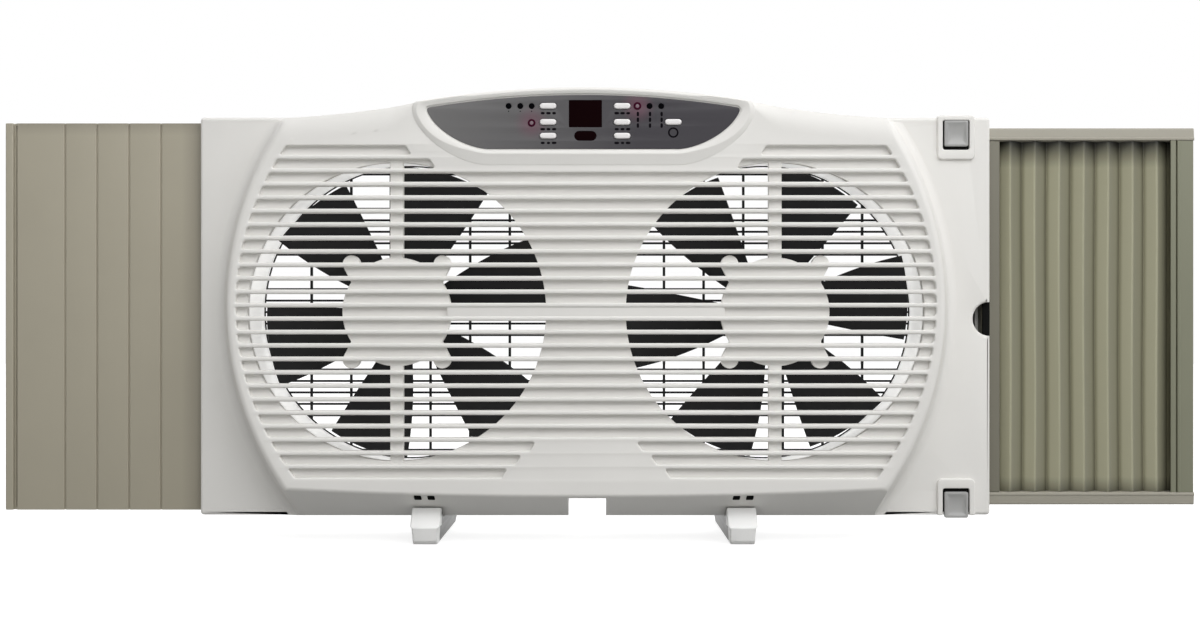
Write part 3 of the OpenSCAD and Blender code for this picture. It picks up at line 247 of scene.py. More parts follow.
def outward(loop):
    """Unit normals to the right of a closed outline: away from the plate, on a hole as well."""
    run = np.roll(loop, -1, 0) - np.roll(loop, 1, 0)
    n = np.stack([run[:, 1], -run[:, 0]], -1)
    return n / np.linalg.norm(n, axis=1, keepdims=True)


def plate(outer, holes, front, back, edge, outer_edge=None, steps=4):
    """A flat plate with holes. Along each outline runs a rim: a quarter round of radius edge from
    the front, then a straight wall to the back. The two caps are the filled outlines."""
    outer_edge = edge if outer_edge is None else outer_edge
    a = np.linspace(0, np.pi / 2, steps + 1)
    surfaces, caps = [], []
    for k, loop in enumerate([outer, *holes]):
        loop = wound(np.asarray(loop, float), k == 0)
        r = outer_edge if k == 0 else edge
        inset = np.append(r * (1 - np.sin(a)), 0)
        depth = np.append(front + r * (1 - np.cos(a)), back)
        flat = loop[None] - outward(loop)[None] * inset[:, None, None]
        rim = np.stack([flat[..., 0], np.broadcast_to(depth[:, None], flat.shape[:2]), flat[..., 1]], -1)
        surfaces.append((rim, grid_faces(*rim.shape[:2])))
        caps.append((rim[0], rim[-1]))
    for side in (0, 1):
        loops = [c[side] for c in caps]
        fill = tessellate_polygon([[Vector((x, z, 0)) for x, _, z in loop] for loop in loops])
        surfaces.append((np.concatenate(loops), np.array(fill)))
    verts, faces, start = [], [], 0
    for v, f in surfaces:
        v = v.reshape(-1, 3)
        verts.append(v)
        faces.append(f + start)
        start += len(v)
    return (np.concatenate(verts), *faces)


def feed(tree, name, value):
    """Drives one input of a material's shader."""
    join(tree, (value, tree.nodes["Principled BSDF"].inputs[name]))


def grained(tree, place, size, low, high, strength, deep):
    """A fine noise that drives both the roughness, from low to high, and a bump."""
    noise = added(tree, "TexNoise", [("Scale", size), ("Detail", 2)])
    bump = added(tree, "Bump", [("Strength", strength), ("Distance", deep)])
    join(tree, (place, noise.inputs["Vector"]), (noise.outputs["Fac"], bump.inputs["Height"]))
    feed(tree, "Roughness", ramp(tree, noise.outputs["Fac"], 0, 1, low, high))
    feed(tree, "Normal", bump.outputs["Normal"])


def blend(tree, share, *colours):
    """A mix of two colours. Each is a colour or a node's output."""
    node = added(tree, "Mix")
    node.data_type = "RGBA"
    for socket, colour in zip(node.inputs[6:8], colours):
        if isinstance(colour, tuple):
            socket.default_value = (*colour, 1)
        else:
            join(tree, (colour, socket))
    join(tree, (share, node.inputs[0]))
    return node.outputs[2]


def plastic(name, colour, rough=0.45, grain=0.0002, grain_size=1400, drift=0.03, gloss=0.5):
    """A moulded plastic: a base colour that drifts a little over some centimetres, a fine
    spark-eroded grain as bump, and a roughness that follows the same grain. Dark and unlit pieces
    have less gloss."""
    made = bpy.data.materials.new(name)
    made.use_nodes = True
    tree = made.node_tree
    place = added(tree, "TexCoord").outputs["Object"]
    cloud = added(tree, "TexNoise", [("Scale", 22), ("Detail", 3)])
    join(tree, (place, cloud.inputs["Vector"]))
    tints = [tuple(min(1, c * share) for c in colour) for share in (1 - drift, 1 + drift)]
    feed(tree, "Base Color", blend(tree, cloud.outputs["Fac"], *tints))
    grained(tree, place, grain_size, rough - 0.05, rough + 0.07, 0.25, grain)
    tree.nodes["Principled BSDF"].inputs["Specular IOR Level"].default_value = gloss
    return made


def corners_of(node):
    """Lowest and highest corner of a CAD node in millimetres."""
    return [np.array(c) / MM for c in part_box(node)]


def middle_of(node):
    """Middle of a CAD node's box in millimetres."""
    low, high = corners_of(node)
    return (low + high) / 2


def moulding(name, surfaces, sharp=35):
    """One surface of the body's white mouldings."""
    return piece(name, surfaces, "body", white_styrene, sharp)


STYRENE = (0.78, 0.768, 0.742)
white_styrene = plastic("white_styrene", STYRENE, rough=0.42)

grille_lo, grille_hi = corners_of("front_grille")
flange_left, flange_right = grille_lo[0], grille_hi[0]
flange_foot = grille_lo[2]
HEAD_OVER_HOUSING = 1.0
flange_head = corners_of("main_housing")[1][2] + HEAD_OVER_HOUSING
FLANGE_RISE = 4.2
rim_head = flange_head + FLANGE_RISE
LIP_STAND = 2.0
FLANGE_T = 3.0
BULGE_DEPTH = 38
front_y = grille_lo[1] + LIP_STAND
flange_y = front_y + BULGE_DEPTH
flange_back = flange_y + FLANGE_T
left_x, _, fan_z = middle_of("fan_shaft_left")
right_x = middle_of("fan_shaft_right")[0]
middle_x = (left_x + right_x) / 2
ARC_LIFT = 5.0
arc_z = fan_z + ARC_LIFT
BULGE_HALF = 295.0
BULGE_R = 268.0
ARCH_RISE = 23.5
ARCH_HALF = 138.0
ARCH_DROP = 11.7
SHOULDER_HALF = 250.0
PANEL_REACH, SHOULDER_START = 127, 158
TUCK_TOP = 19.9
TUCK_BOW = 5.1
BOW_FROM, BOW_RUN = 20, 204


def arch_top(u):
    """Height of the top edge: a circle over the middle, then a parabola down to the flange."""
    u = np.abs(u)
    r = (ARCH_HALF ** 2 + ARCH_DROP ** 2) / (2 * ARCH_DROP)
    crown = flange_head + ARCH_RISE
    slope = ARCH_HALF / np.sqrt(r ** 2 - ARCH_HALF ** 2)
    run = SHOULDER_HALF - ARCH_HALF
    ease = (slope * run - (crown - ARCH_DROP - flange_head)) / run ** 2
    middle = crown - r + np.sqrt(np.maximum(r ** 2 - u ** 2, 0))
    shoulder = crown - ARCH_DROP - slope * (u - ARCH_HALF) + ease * (u - ARCH_HALF) ** 2
    return np.where(u < ARCH_HALF, middle, np.where(u < SHOULDER_HALF, shoulder, flange_head))


def ease_in(x, low, high):
    """0 below low, 1 above high, and a smooth cubic step between."""
    t = np.clip((x - low) / (high - low), 0, 1)
    return t * t * (3 - 2 * t)


# The cord notch in the tucked face, cut up to just under the front's lower edge
notch_left, notch_right = -26.0, 5.0
NOTCH_EDGE = 1.2
NOTCH_TOP = 38.0
SIDE_STEPS, TOP_STEPS, FOOT_STEPS = 90, 140, 60


def bulge_ring(y, side, top, foot, notch_wall=0.0):
    """The closed outline of the bulge at depth y: two arcs drawn in by side, the arch drawn down by
    top(u), and the foot at foot(u) with the cord notch stepped into it. It starts at the notch."""
    r = BULGE_R - side
    shift = BULGE_HALF - BULGE_R
    u_foot, u_top = 230.0, 240.0
    for _ in range(12):
        u_foot = shift + np.sqrt(r ** 2 - (foot(u_foot) - arc_z) ** 2)
        u_top = shift + np.sqrt(max(r ** 2 - (arch_top(u_top) - top(u_top) - arc_z) ** 2, 0))
    a0 = np.arctan2(foot(u_foot) - arc_z, u_foot - shift)
    a1 = np.arctan2(arch_top(u_top) - top(u_top) - arc_z, u_top - shift)
    a = np.linspace(a0, a1, SIDE_STEPS)
    right = np.stack([shift + r * np.cos(a), arc_z + r * np.sin(a)], -1)
    u = np.linspace(u_top, -u_top, TOP_STEPS)[1:-1]
    over = np.stack([u, arch_top(u) - top(u)], -1)
    left = right[::-1] * (-1, 1)
    n0, n1 = notch_left - middle_x - notch_wall, notch_right - middle_x + notch_wall
    lift = NOTCH_TOP + notch_wall
    u = np.linspace(-u_foot, n0, FOOT_STEPS)[1:]
    under_left = np.stack([u, foot(u)], -1)
    u = np.linspace(n1, u_foot, FOOT_STEPS)[:-1]
    under_right = np.stack([u, foot(u)], -1)
    step = np.array([[n0, max(lift, foot(n0))], [n1, max(lift, foot(n1))]])
    ring = np.concatenate([step[1:], under_right, right, over, left, under_left, step[:1]])
    return np.insert(ring + (middle_x, 0), 1, y, 1)


def tucked(y, lift=0.0):
    """Foot of the bulge at depth y: it climbs evenly from the flange's lower edge to the front's
    bowed lower edge."""
    share = np.clip((flange_y - 2 - y) / (flange_y - 2 - front_y), 0, 1)
    land = flange_foot + 0.1

    def height(u):
        bow = np.clip((np.abs(u) - BOW_FROM) / BOW_RUN, 0, 2)
        return land + lift + (TUCK_TOP + TUCK_BOW * bow ** 2) * share
    return height


def arch_round(drop, wide, narrow):
    """How far the arch's edge is drawn down at one depth: narrow under the control panel, wide
    over the shoulders."""
    return lambda u: drop + narrow + (wide - narrow) * ease_in(np.abs(u), PANEL_REACH, SHOULDER_START)


# Section of the bulge's side as (inset, depth) corners, bent smooth at the flange and at the front
section = rounded([(-40, -20, 0), (-40, -0.02, 0), (-4.6, -0.02, 9), (7.2, -BULGE_DEPTH, 6),
                   (12, -BULGE_DEPTH, 0), (12, -80, 0)], 10)
section = section[(section[:, 0] > -14.5) & (section[:, 1] > -BULGE_DEPTH - 0.001) & (section[:, 0] < 12.001)]
section = section[np.append(True, np.abs(np.diff(section, axis=0)).sum(1) > 1e-3)]
TOP_ROUND_D, ROUND_WIDE, ROUND_NARROW = 7, 20, 5
FOOT_ROUND_D, FOOT_ROUND = 2, 2.2
rings = []
for inset, depth in section:
    y = flange_y + depth
    near = np.clip((front_y + TOP_ROUND_D - y) / TOP_ROUND_D, 0, 1)
    crisp = np.clip((front_y + FOOT_ROUND_D - y) / FOOT_ROUND_D, 0, 1)
    bend = 1 - np.sqrt(1 - near ** 2)
    top = arch_round(0, ROUND_WIDE * bend, ROUND_NARROW * bend)
    foot = tucked(y, FOOT_ROUND * (1 - np.sqrt(1 - crisp ** 2)) + max(inset - 11.6, 0))
    rings.append(bulge_ring(y, inset, top, foot))
last_ring = rings[-1]
for inset, y, lift in ((12, front_y + 2.5, 4.6), (9, front_y + 4, 3.2), (-1.8, flange_y - 1, 2.6),
                       (-1.8, flange_back + 0.05, 2.6)):
    near = np.clip((front_y + 9 - y) / 9, 0, 1)
    rings.append(bulge_ring(y, inset, arch_round(2.4, 19 * near, 4 * near), tucked(y, lift), 2.2))
rings.append(bulge_ring(flange_back + 0.05, -14, arch_round(0, 0, 0), tucked(flange_y)))
rings = np.array(rings)
moulding("grille_bulge", [(rings, grid_faces(*rings.shape[:2], wrap_rows=True))])

# Slots: each row is one long opening whose ends follow the field's arcs, with a wide radius at the
# blunt corner and a small one at the sharp corner
SLOT_PITCH = 10.78
SLAT_H = 3.6
FIELD_HALF = 280.4
FIELD_R = 225.0
SLAT_D = 8.0
SLAT_ROUND = 1.3
slot_half = (SLOT_PITCH - SLAT_H) / 2


def field_edge(z):
    """Half width of the slotted field at a height."""
    return FIELD_HALF - FIELD_R + np.sqrt(FIELD_R ** 2 - (z - arc_z) ** 2)


def square_bar(x0, x1, y0, y1, z0, z1, edge=0.5):
    """A bar with rounded edges, as a plate of its front outline."""
    return plate(oblong(x0, x1, z0, z1, 0.8), [], y0, y1, edge)


def slot_outlines(row, inner=None, slant=0.0):
    """The openings of one row: one from edge to edge, or one on each side from an inner end."""
    z = fan_z + row * SLOT_PITCH
    low, high = z - slot_half, z + slot_half
    blunt, keen = (3.2, 0.9) if z < arc_z else (0.9, 3.2)
    outer = [(field_edge(low), low, blunt), (field_edge(high), high, keen)]
    if inner is None:
        ends = [outer[0], outer[1], (-outer[1][0], high, keen), (-outer[0][0], low, blunt)]
        return [rounded([(middle_x + u, z, r) for u, z, r in ends])]
    soft, tight = (2.8, 1.2) if slant < 0 else (1.2, 2.8)
    ends = [outer[0], outer[1], (inner + slant, high, tight), (inner - slant, low, soft)]
    return [rounded([(middle_x + s * u, z, r) for u, z, r in ends]) for s in (-1, 1)]


FIRST_ROW, LAST_ROW = -9, 10
TOP_INNER, TOP_STEP = 123, 19.2
FOOT_INNER, FOOT_STEP = 43, 11.2
SLANT = 2.2
slots = [s for row in range(FIRST_ROW, LAST_ROW + 1) for s in slot_outlines(row)]
slots += [s for k in (0, 1) for s in slot_outlines(LAST_ROW + 1 + k, TOP_INNER + TOP_STEP * k, SLANT)]
slots += [s for k in (0, 1, 2) for s in slot_outlines(FIRST_ROW - 1 - k, FOOT_INNER + FOOT_STEP * k, -SLANT)]

# Outline of the control panel's dark plate: a bowed top, a straight foot, superellipse sides
plate_lo, plate_hi = corners_of("control_plate")
plate_x = middle_of("control_plate")[0]
plate_z = plate_lo[2]
PLATE_HALF, PLATE_FOOT = 126.5, 76.0
PLATE_SIDE, PLATE_CROWN = 34.4, 10.4
PLATE_POWER = 1.62
TIP_ROUND = 3.5


def control_outline(steps=60):
    """The dark plate's outline, anticlockwise from the middle of its foot. A tip is a quadratic
    curve between the two sides."""
    t = np.linspace(0, 1, steps)
    t = t[1 - (1 - t ** PLATE_POWER) ** (1 / PLATE_POWER) < 1 - TIP_ROUND / PLATE_SIDE]
    side = np.stack([PLATE_FOOT + t * (PLATE_HALF - PLATE_FOOT),
                     PLATE_SIDE * (1 - (1 - t ** PLATE_POWER) ** (1 / PLATE_POWER))], -1)
    u = np.linspace(1 - TIP_ROUND / PLATE_HALF, 0, steps)
    top = np.stack([u * PLATE_HALF, PLATE_SIDE + PLATE_CROWN * (1 - u ** 2)], -1)
    k = np.linspace(0, 1, 8)[1:-1, None]
    tip = (1 - k) ** 2 * side[-1] + 2 * k * (1 - k) * np.array([PLATE_HALF, PLATE_SIDE]) + k ** 2 * top[0]
    foot = np.stack([np.linspace(0, PLATE_FOOT, 20)[:-1], np.zeros(19)], -1)
    half = np.concatenate([foot, side, tip, top])
    whole = np.concatenate([half, half[-2:0:-1] * (-1, 1)])
    return whole + (plate_x, plate_z)


control = control_outline()
seat = control - outward(control) * 1.5
# Between the fans' middles a bar, set a little back, fills the middle row's slot
CENTRE_BAR_HALF, CENTRE_BAR_BACK = 111, 0.9
slat_back = front_y + SLAT_D
front_face = plate(last_ring[:, ::2], slots + [seat], front_y, slat_back, SLAT_ROUND, 0.0)
centre_bar = square_bar(middle_x - CENTRE_BAR_HALF, middle_x + CENTRE_BAR_HALF, front_y + CENTRE_BAR_BACK,
                        slat_back, fan_z - slot_half - 0.5, fan_z + slot_half + 0.5, 0.2)
slats = moulding("grille_slats", [front_face, centre_bar])
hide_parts("front_grille")

# The floor behind the slats with the fans' openings: half rings between the circle, the upright
# bar and the motor's blank, a disc with a lobe at each corner
OPENING_R = 120.0
BAR_HALF = 5.2
BLANK_R = 43.7
LOBE_X, LOBE_Z, LOBE_R = 36.5, 38.5, 7


def half_opening(axis_x, side):
    """One half of a fan's opening, right of its upright bar or, mirrored, left of it."""
    tip = np.degrees(np.arccos(BAR_HALF / OPENING_R))
    rim = arc(0, 0, OPENING_R, -tip, tip, 90)
    bar = np.degrees(np.arcsin(BAR_HALF / BLANK_R))
    quarter = np.concatenate([arc(0, 0, BLANK_R, 90 - bar, 57, 8), arc(LOBE_X, LOBE_Z, LOBE_R, 176, -14, 14),
                              arc(0, 0, BLANK_R, 33, 0, 8)])
    blank = np.concatenate([quarter, quarter[-2::-1] * (1, -1)])
    return np.concatenate([rim, blank]) * (side, 1) + (axis_x, fan_z)


FLOOR_AT, FLOOR_PAST = 4.4, 2.9
FIELD_LOW, FIELD_HIGH = 51.0, 324.0
z = np.linspace(FIELD_LOW, FIELD_HIGH, 90)
edge = FIELD_HALF - FIELD_R + np.sqrt((FIELD_R + 4) ** 2 - (z - arc_z) ** 2)
field = np.concatenate([np.stack([middle_x + edge, z], -1), np.stack([middle_x - edge, z], -1)[::-1]])
openings = [half_opening(x, s) for x in (left_x, right_x) for s in (-1, 1)]
moulding("grille_floor", [plate(wound(field, True), openings, front_y + FLOOR_AT, slat_back + FLOOR_PAST, 0.5)])

# The flange: a ring plate, cut at the cord notch, with the finger notch in its right edge. Its
# upper edge follows the arch where that is higher
FLANGE_R = 3.0
FLANGE_EDGE, FLANGE_RIM = 0.8, 2.6
FINGER_DROP, FINGER_R = 5.8, 14.0
LOCK_CUT = 10
ARCH_GAP, STRIP = 0.6, 2.4
finger_z = fan_z - FINGER_DROP
lock_x = middle_of("lock_tab_top")[0]
u = np.linspace(SHOULDER_HALF, -SHOULDER_HALF, 140)
skyline = np.stack([middle_x + u, np.maximum(arch_top(u) - ARCH_GAP, rim_head)], -1)
around = np.concatenate([
    [[notch_right + NOTCH_EDGE, flange_foot]],
    arc(flange_right - FLANGE_R, flange_foot + FLANGE_R, FLANGE_R, -90, 0, 6),
    arc(flange_right, finger_z, FINGER_R, 270, 90, 28),
    arc(flange_right - FLANGE_R, rim_head - FLANGE_R, FLANGE_R, 0, 90, 6),
    skyline,
    arc(flange_left + FLANGE_R, rim_head - FLANGE_R, FLANGE_R, 90, 180, 6),
    arc(flange_left + FLANGE_R, flange_foot + FLANGE_R, FLANGE_R, 180, 270, 6),
    [[notch_left - NOTCH_EDGE, flange_foot]],
])
inside = bulge_ring(0, -6, arch_round(STRIP, 0, 0), lambda u: flange_foot + STRIP + 0 * u)[1:-1, ::2][::-1]
beside_notch = (inside[:, 0] < notch_left - NOTCH_EDGE) | (inside[:, 0] > notch_right + NOTCH_EDGE)
inside = inside[beside_notch | (inside[:, 1] > 100)]
ring = np.concatenate([around, inside])
locks = [oblong(lock_x - LOCK_CUT, lock_x + LOCK_CUT, z0, z1, 1, steps=6)
         for z0, z1 in ((flange_head - 22, flange_head - 2), (flange_foot + 2, flange_foot + 20))]
moulding("grille_flange", [plate(ring, locks, flange_y, flange_back, FLANGE_EDGE, FLANGE_RIM)])

# ---- Lip of the control panel ----
# Moulded in one with the grille: a rim that dips towards the panel's seat, wider at the two tips,
# and a slope from the rim down to the bulge, steep at the tips.

LIP_RIM, LIP_RIM_TIP = 3.2, 7.4
LIP_SLOPE, LIP_SLOPE_TIP = 8.6, 3.6
LIP_TILT = 0.9
lip_y = grille_lo[1]


def loft(rings):
    """A closed skin over rings of equally many points: quads from ring to ring, and a filled cap
    on the first and on the last."""
    rings = np.asarray(rings, float)
    parts = [grid_faces(*rings.shape[:2])]
    for ring, start in ((rings[0], 0), (rings[-1], (len(rings) - 1) * rings.shape[1])):
        parts.append(np.array(tessellate_polygon([[Vector(p) for p in ring]])) + start)
    return (rings, *parts)


def around_panel(grow, y, clear):
    """The panel's outline grown by a width per point, at depth y, kept clear below the arch."""
    loop = control + outward(control) * np.broadcast_to(grow, len(control))[:, None]
    z = np.minimum(loop[:, 1], arch_top(loop[:, 0] - middle_x) - clear)
    return np.stack([loop[:, 0], np.full(len(loop), y), z], -1)


tipness = ease_in(np.abs(control[:, 0] - plate_x), 84, 122)
rim = LIP_RIM + (LIP_RIM_TIP - LIP_RIM) * tipness
slope_end = rim + LIP_SLOPE + (LIP_SLOPE_TIP - LIP_SLOPE) * tipness
lip_rings = np.array([around_panel(*row) for row in (
    (-0.4, front_y + 6, 3), (0.3, front_y + 0.4, 3), (0.3, lip_y + LIP_TILT + 0.4, 3),
    (0.45, lip_y + LIP_TILT + 0.1, 2.8), (0.8, lip_y + LIP_TILT - 0.1, 2.6), (rim - 0.4, lip_y + 0.05, 2.2),
    (rim, lip_y, 2.0), (rim + 0.5, lip_y + 0.12, 1.8), (slope_end, front_y - 0.25, 0.9),
    (slope_end + 0.4, front_y + 0.5, 0.8), (slope_end + 0.4, front_y + 5.8, 0.8))])
moulding("panel_lip", [(lip_rings, grid_faces(len(lip_rings), len(control), wrap_rows=True))], sharp=25)

# Two dark plates in the tucked face over each foot, laid along the slope: painted shade for the slots
# A near-black plastic used as painted shade in slots, notches and wells
shadow = plastic("painted_recess_shade", (0.010, 0.010, 0.010), rough=0.8, grain=0.00002, gloss=0)
WINDOW_SHIFT, WINDOW_HALF = 5.4, 2.9
WINDOW_LOW, WINDOW_HIGH = 36.3, 40.2
slope_run, slope_rise = flange_y - 2 - front_y, TUCK_TOP + 1.5
slot_shades = []
for side in ("left", "right"):
    for shift in (-WINDOW_SHIFT, WINDOW_SHIFT):
        x = middle_of("foot_" + side)[0] + shift
        pane = oblong(x - WINDOW_HALF, x + WINDOW_HALF, WINDOW_LOW, WINDOW_HIGH, 0.8)
        y = flange_y - 2 - slope_run * (pane[:, 1] - flange_foot - 0.1) / slope_rise
        slot_shades.append(loft([np.stack([pane[:, 0], y - d * 0.51, pane[:, 1] - d * 0.86], -1)
                              for d in (0.35, -1.0)]))
piece("foot_slot_shades", slot_shades, "body", shadow)

# ---- Control panel ----
# A dark printed plate clipped into its seat, with pill shaped keys that pass through it, smoked
# windows for the digits and the receiver, and round lenses over the lamps.

PANEL_GREY = (0.038, 0.035, 0.042)
# The plate's colour at its left end, with a painted reflection on it
PANEL_REFLECTED_GREY = (0.175, 0.173, 0.172)
PANEL_INSET = 0.8
# Pink of the lit lamps' light, painted onto the plate around them
PAINTED_GLOW = (0.17, 0.065, 0.10)
KEY_L, KEY_H, CROWN_H = 13.2, 4.6, 0.9
KEY_GAP = 0.35
KEY_ROWS = (35.1, 22.3, 11.3)
KEY_LEFT, KEY_RIGHT, KEY_POWER = -28.2, 31.0, 71.9
LENS_R = 2.4
DARK_LENSES = ((-59.8, 35.1), (-50.5, 35.1), (-41.4, 35.1), (52.9, 35.1), (62.2, 35.1))
LIT_LENSES = ((-41.4, 21.6), (43.2, 35.1))


def pill(x, z, length, height, grow=0.0, steps=10):
    """A pill's outline: two half circles joined by straight sides."""
    r = height / 2 + grow
    half = (length - height) / 2
    return np.concatenate([arc(x + half, z, r, -90, 90, steps), arc(x - half, z, r, 90, 270, steps)])


def at_panel(x, z):
    """A place on the panel, from its own middle and foot."""
    return plate_x + x, plate_z + z


def place_on(tree):
    """The X, Y and Z of a point on a piece, in metres."""
    split = added(tree, "SeparateXYZ")
    join(tree, (added(tree, "TexCoord").outputs["Object"], split.inputs[0]))
    return split.outputs


def distance_from(tree, x, y, z, depth=1):
    """How far a point on a piece lies from (x, y, z), in metres. Depth 0 leaves its Y out."""
    counted = added(tree, "VectorMath", [(1, (1, depth, 1))], "MULTIPLY")
    away = added(tree, "VectorMath", [(1, (x * MM, y * MM, z * MM))], "DISTANCE")
    join(tree, (added(tree, "TexCoord").outputs["Object"], counted.inputs[0]),
         (counted.outputs[0], away.inputs[0]))
    return away.outputs["Value"]


PAINTED_GLOW_REACH, PAINTED_GLOW_SHARE = 0.016, 0.55
# Painted reflection: the plate is lighter grey on the left, fading to its own dark grey on the right
REFLECTION_LEFT, REFLECTION_RIGHT = 145, 42
panel_ink_and_reflection = plastic("panel_print_and_reflection", PANEL_GREY, rough=0.38, grain=0.0001, grain_size=2600, drift=0.02,
                    gloss=0.35)
tree = panel_ink_and_reflection.node_tree
reflection_share = ramp(tree, place_on(tree)["X"], (plate_x - REFLECTION_LEFT) * MM, (plate_x + REFLECTION_RIGHT) * MM)
colour = blend(tree, reflection_share, PANEL_REFLECTED_GREY, PANEL_GREY)
# Painted light: the plate turns pink near each lit lamp
for spot in LIT_LENSES:
    x, z = at_panel(*spot)
    near = ramp(tree, distance_from(tree, x, front_y, z), PAINTED_GLOW_REACH, 0.001, 0, PAINTED_GLOW_SHARE, smooth=True)
    colour = blend(tree, near, colour, PAINTED_GLOW)
feed(tree, "Base Color", colour)

window_lo, window_hi = corners_of("display_window")
receiver_lo, receiver_hi = corners_of("receiver_window")
display = oblong(window_lo[0], window_hi[0], window_lo[2], window_hi[2], 0.6, steps=3)
receiver = pill(*middle_of("receiver_window")[::2], *(receiver_hi - receiver_lo)[::2])
key_places = {f"key_{side}_{row}": at_panel(x, z) for side, x in (("left", KEY_LEFT), ("right", KEY_RIGHT))
              for row, z in zip(("top", "middle", "bottom"), KEY_ROWS)}
key_places["key_power"] = at_panel(KEY_POWER, KEY_ROWS[1])
panel_holes = [pill(x, z, KEY_L, KEY_H, KEY_GAP) for x, z in key_places.values()] + [display, receiver]
panel_holes += [arc(*at_panel(x, z), LENS_R, 0, 340, 18) for x, z in DARK_LENSES + LIT_LENSES]
panel_y = plate_lo[1]
printed = plate(control - outward(control) * PANEL_INSET, panel_holes, panel_y, plate_hi[1], 0.25)
panel = piece("panel_plate", [printed], "body", panel_ink_and_reflection)
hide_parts("control_plate")

key_white = plastic("key_white", (0.84, 0.82, 0.82), rough=0.30, grain=0.00005, drift=0.01)


def key_cap(x, z, front, back):
    """A key's cap: pill outlines drawn in to the middle line, their depth on a flat dome
    y = front + h (1 - (1 - k^4)^(1/2)) from the middle k = 0 to the edge k = 1."""
    k = np.concatenate([np.linspace(0.02, 0.8, 6), np.linspace(0.86, 1, 6)])
    dome = front + CROWN_H * (1 - np.sqrt(1 - k ** 4))
    rings = [np.insert(pill(x, z, KEY_L, KEY_H, (s - 1) * KEY_H / 2), 1, y, 1) for s, y in zip(k, dome)]
    rings.append(np.insert(pill(x, z, KEY_L, KEY_H), 1, back, 1))
    return loft(rings)


for node, (x, z) in key_places.items():
    lo, hi = corners_of(node)
    flange_ring = np.array([np.insert(pill(x, z, KEY_L, KEY_H, g), 1, y, 1)
                            for g, y in ((-1, hi[1] - 1), (1, hi[1] - 1), (1, hi[1]), (-1, hi[1]))])
    surfaces = [key_cap(x, z, lo[1], hi[1] - 0.9), loft(flange_ring)]
    cap = piece(node + "_cap", surfaces, node[4:] + "_key", key_white)
    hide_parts(node)

smoke = plastic("smoked_acrylic", (0.007, 0.0022, 0.0028), rough=0.2, grain=0.00002, gloss=0)
dark_lens = plastic("dark_lens", (0.003, 0.003, 0.004), rough=0.25, grain=0.00002, gloss=0)
lit_lens = plastic("lit_lens", (0.20, 0.13, 0.16), rough=0.25, grain=0.00002)
PANE_AT = 0.15
panes = [plate(outline, [], panel_y + PANE_AT, plate_hi[1], edge)
         for outline, edge in ((display, 0.2), (receiver, 0.5))]
windows = piece("panel_windows", panes, "body", smoke)
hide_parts("display_window", "receiver_window")


def lathe(profile, x, z, steps=48):
    """A closed profile of (radius, y) turned about an axis along Y through (x, z)."""
    a = np.linspace(0, 2 * np.pi, steps, endpoint=False)
    r, y = np.asarray(profile, float).T
    r = np.maximum(r, 1e-3)
    verts = np.stack([x + r[:, None] * np.cos(a), np.broadcast_to(y[:, None], (len(r), steps)),
                      z + r[:, None] * np.sin(a)], -1)
    return verts, grid_faces(len(r), steps, wrap_rows=True)


LENS_BULGE = [(0, -0.3), (1.0, -0.25), (1.8, -0.08), (2.3, 0.25), (2.3, 2.2), (0, 2.2)]
lit_ring = plastic("lit_ring", (0.045, 0.006, 0.018), rough=0.4, grain=0.00002, gloss=0)
RING = [(1.5, -0.30), (1.8, -0.40), (2.6, -0.40), (3.1, -0.25), (3.1, 0.1), (1.5, 0.1)]


def at_lamps(name, profile, places, steps, paint):
    """One turned shape over each of the lamps at the places."""
    shapes = [lathe([(r, panel_y + y) for r, y in profile], *at_panel(*p), steps) for p in places]
    return piece(name, shapes, "body", paint)


lenses = at_lamps("indicator_lens_caps", LENS_BULGE, DARK_LENSES, 20, dark_lens)
at_lamps("indicator_lens_lit", LENS_BULGE, LIT_LENSES, 20, lit_lens)
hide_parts("indicator_lenses")
at_lamps("lit_indicator_rings", RING, LIT_LENSES, 24, lit_ring)

# The printed ring under the power key and plain dashes where the keys' legends stand
ink = plastic("dark_ink", (0.006, 0.005, 0.007), rough=0.6, grain=0.00002, gloss=0)
POWER_RING_R, POWER_RING_W, POWER_RING_DROP = 4.2, 1.3, 8.4
LEGEND_DROP, DOT_DROP = 5.7, 4.2
DASH_L, DASH_H = 3.9, 1.9
COLUMN_DROP, COLUMN_STEP = 6.4, 4.6
print_y, print_back = panel_y - 0.04, panel_y + 0.1
x, z = at_panel(KEY_POWER, KEY_ROWS[1] - POWER_RING_DROP)
ring_inner = POWER_RING_R - POWER_RING_W
marks = [lathe([(POWER_RING_R, print_y), (POWER_RING_R, print_back), (ring_inner, print_back),
                (ring_inner, print_y)], x, z, 40)]
dashes = []
for i, (node, (x, z)) in enumerate(key_places.items()):
    if node != "key_power":
        for shift, long in ((-4.3, 3.4 + i % 2 * 0.6), (0.3, 3.8 - i % 3 * 0.5), (4.8, 3.2 + i % 3 * 0.4)):
            dashes.append(pill(x + shift, z - LEGEND_DROP, long, DASH_H, steps=4))
for x, z in DARK_LENSES[:3]:
    dashes.append(pill(*at_panel(x, z - DOT_DROP), 1.0, 0.99, steps=4))
for x, z in (LIT_LENSES[1],) + DARK_LENSES[3:]:
    for j in range(3):
        upright_dash = pill(0, 0, DASH_L, DASH_H, steps=4)[:, ::-1]
        dashes.append(upright_dash + at_panel(x + 0.4, z - COLUMN_DROP - COLUMN_STEP * j))
marks += [plate(dash, [], print_y, print_back, 0.02) for dash in dashes]
piece("panel_marks", marks, "body", ink)

# ---- Fans ----
# Two moulded polypropylene fans with six swept, cambered blades on a hollow hub, each held on its
# motor's shaft by a domed nut.

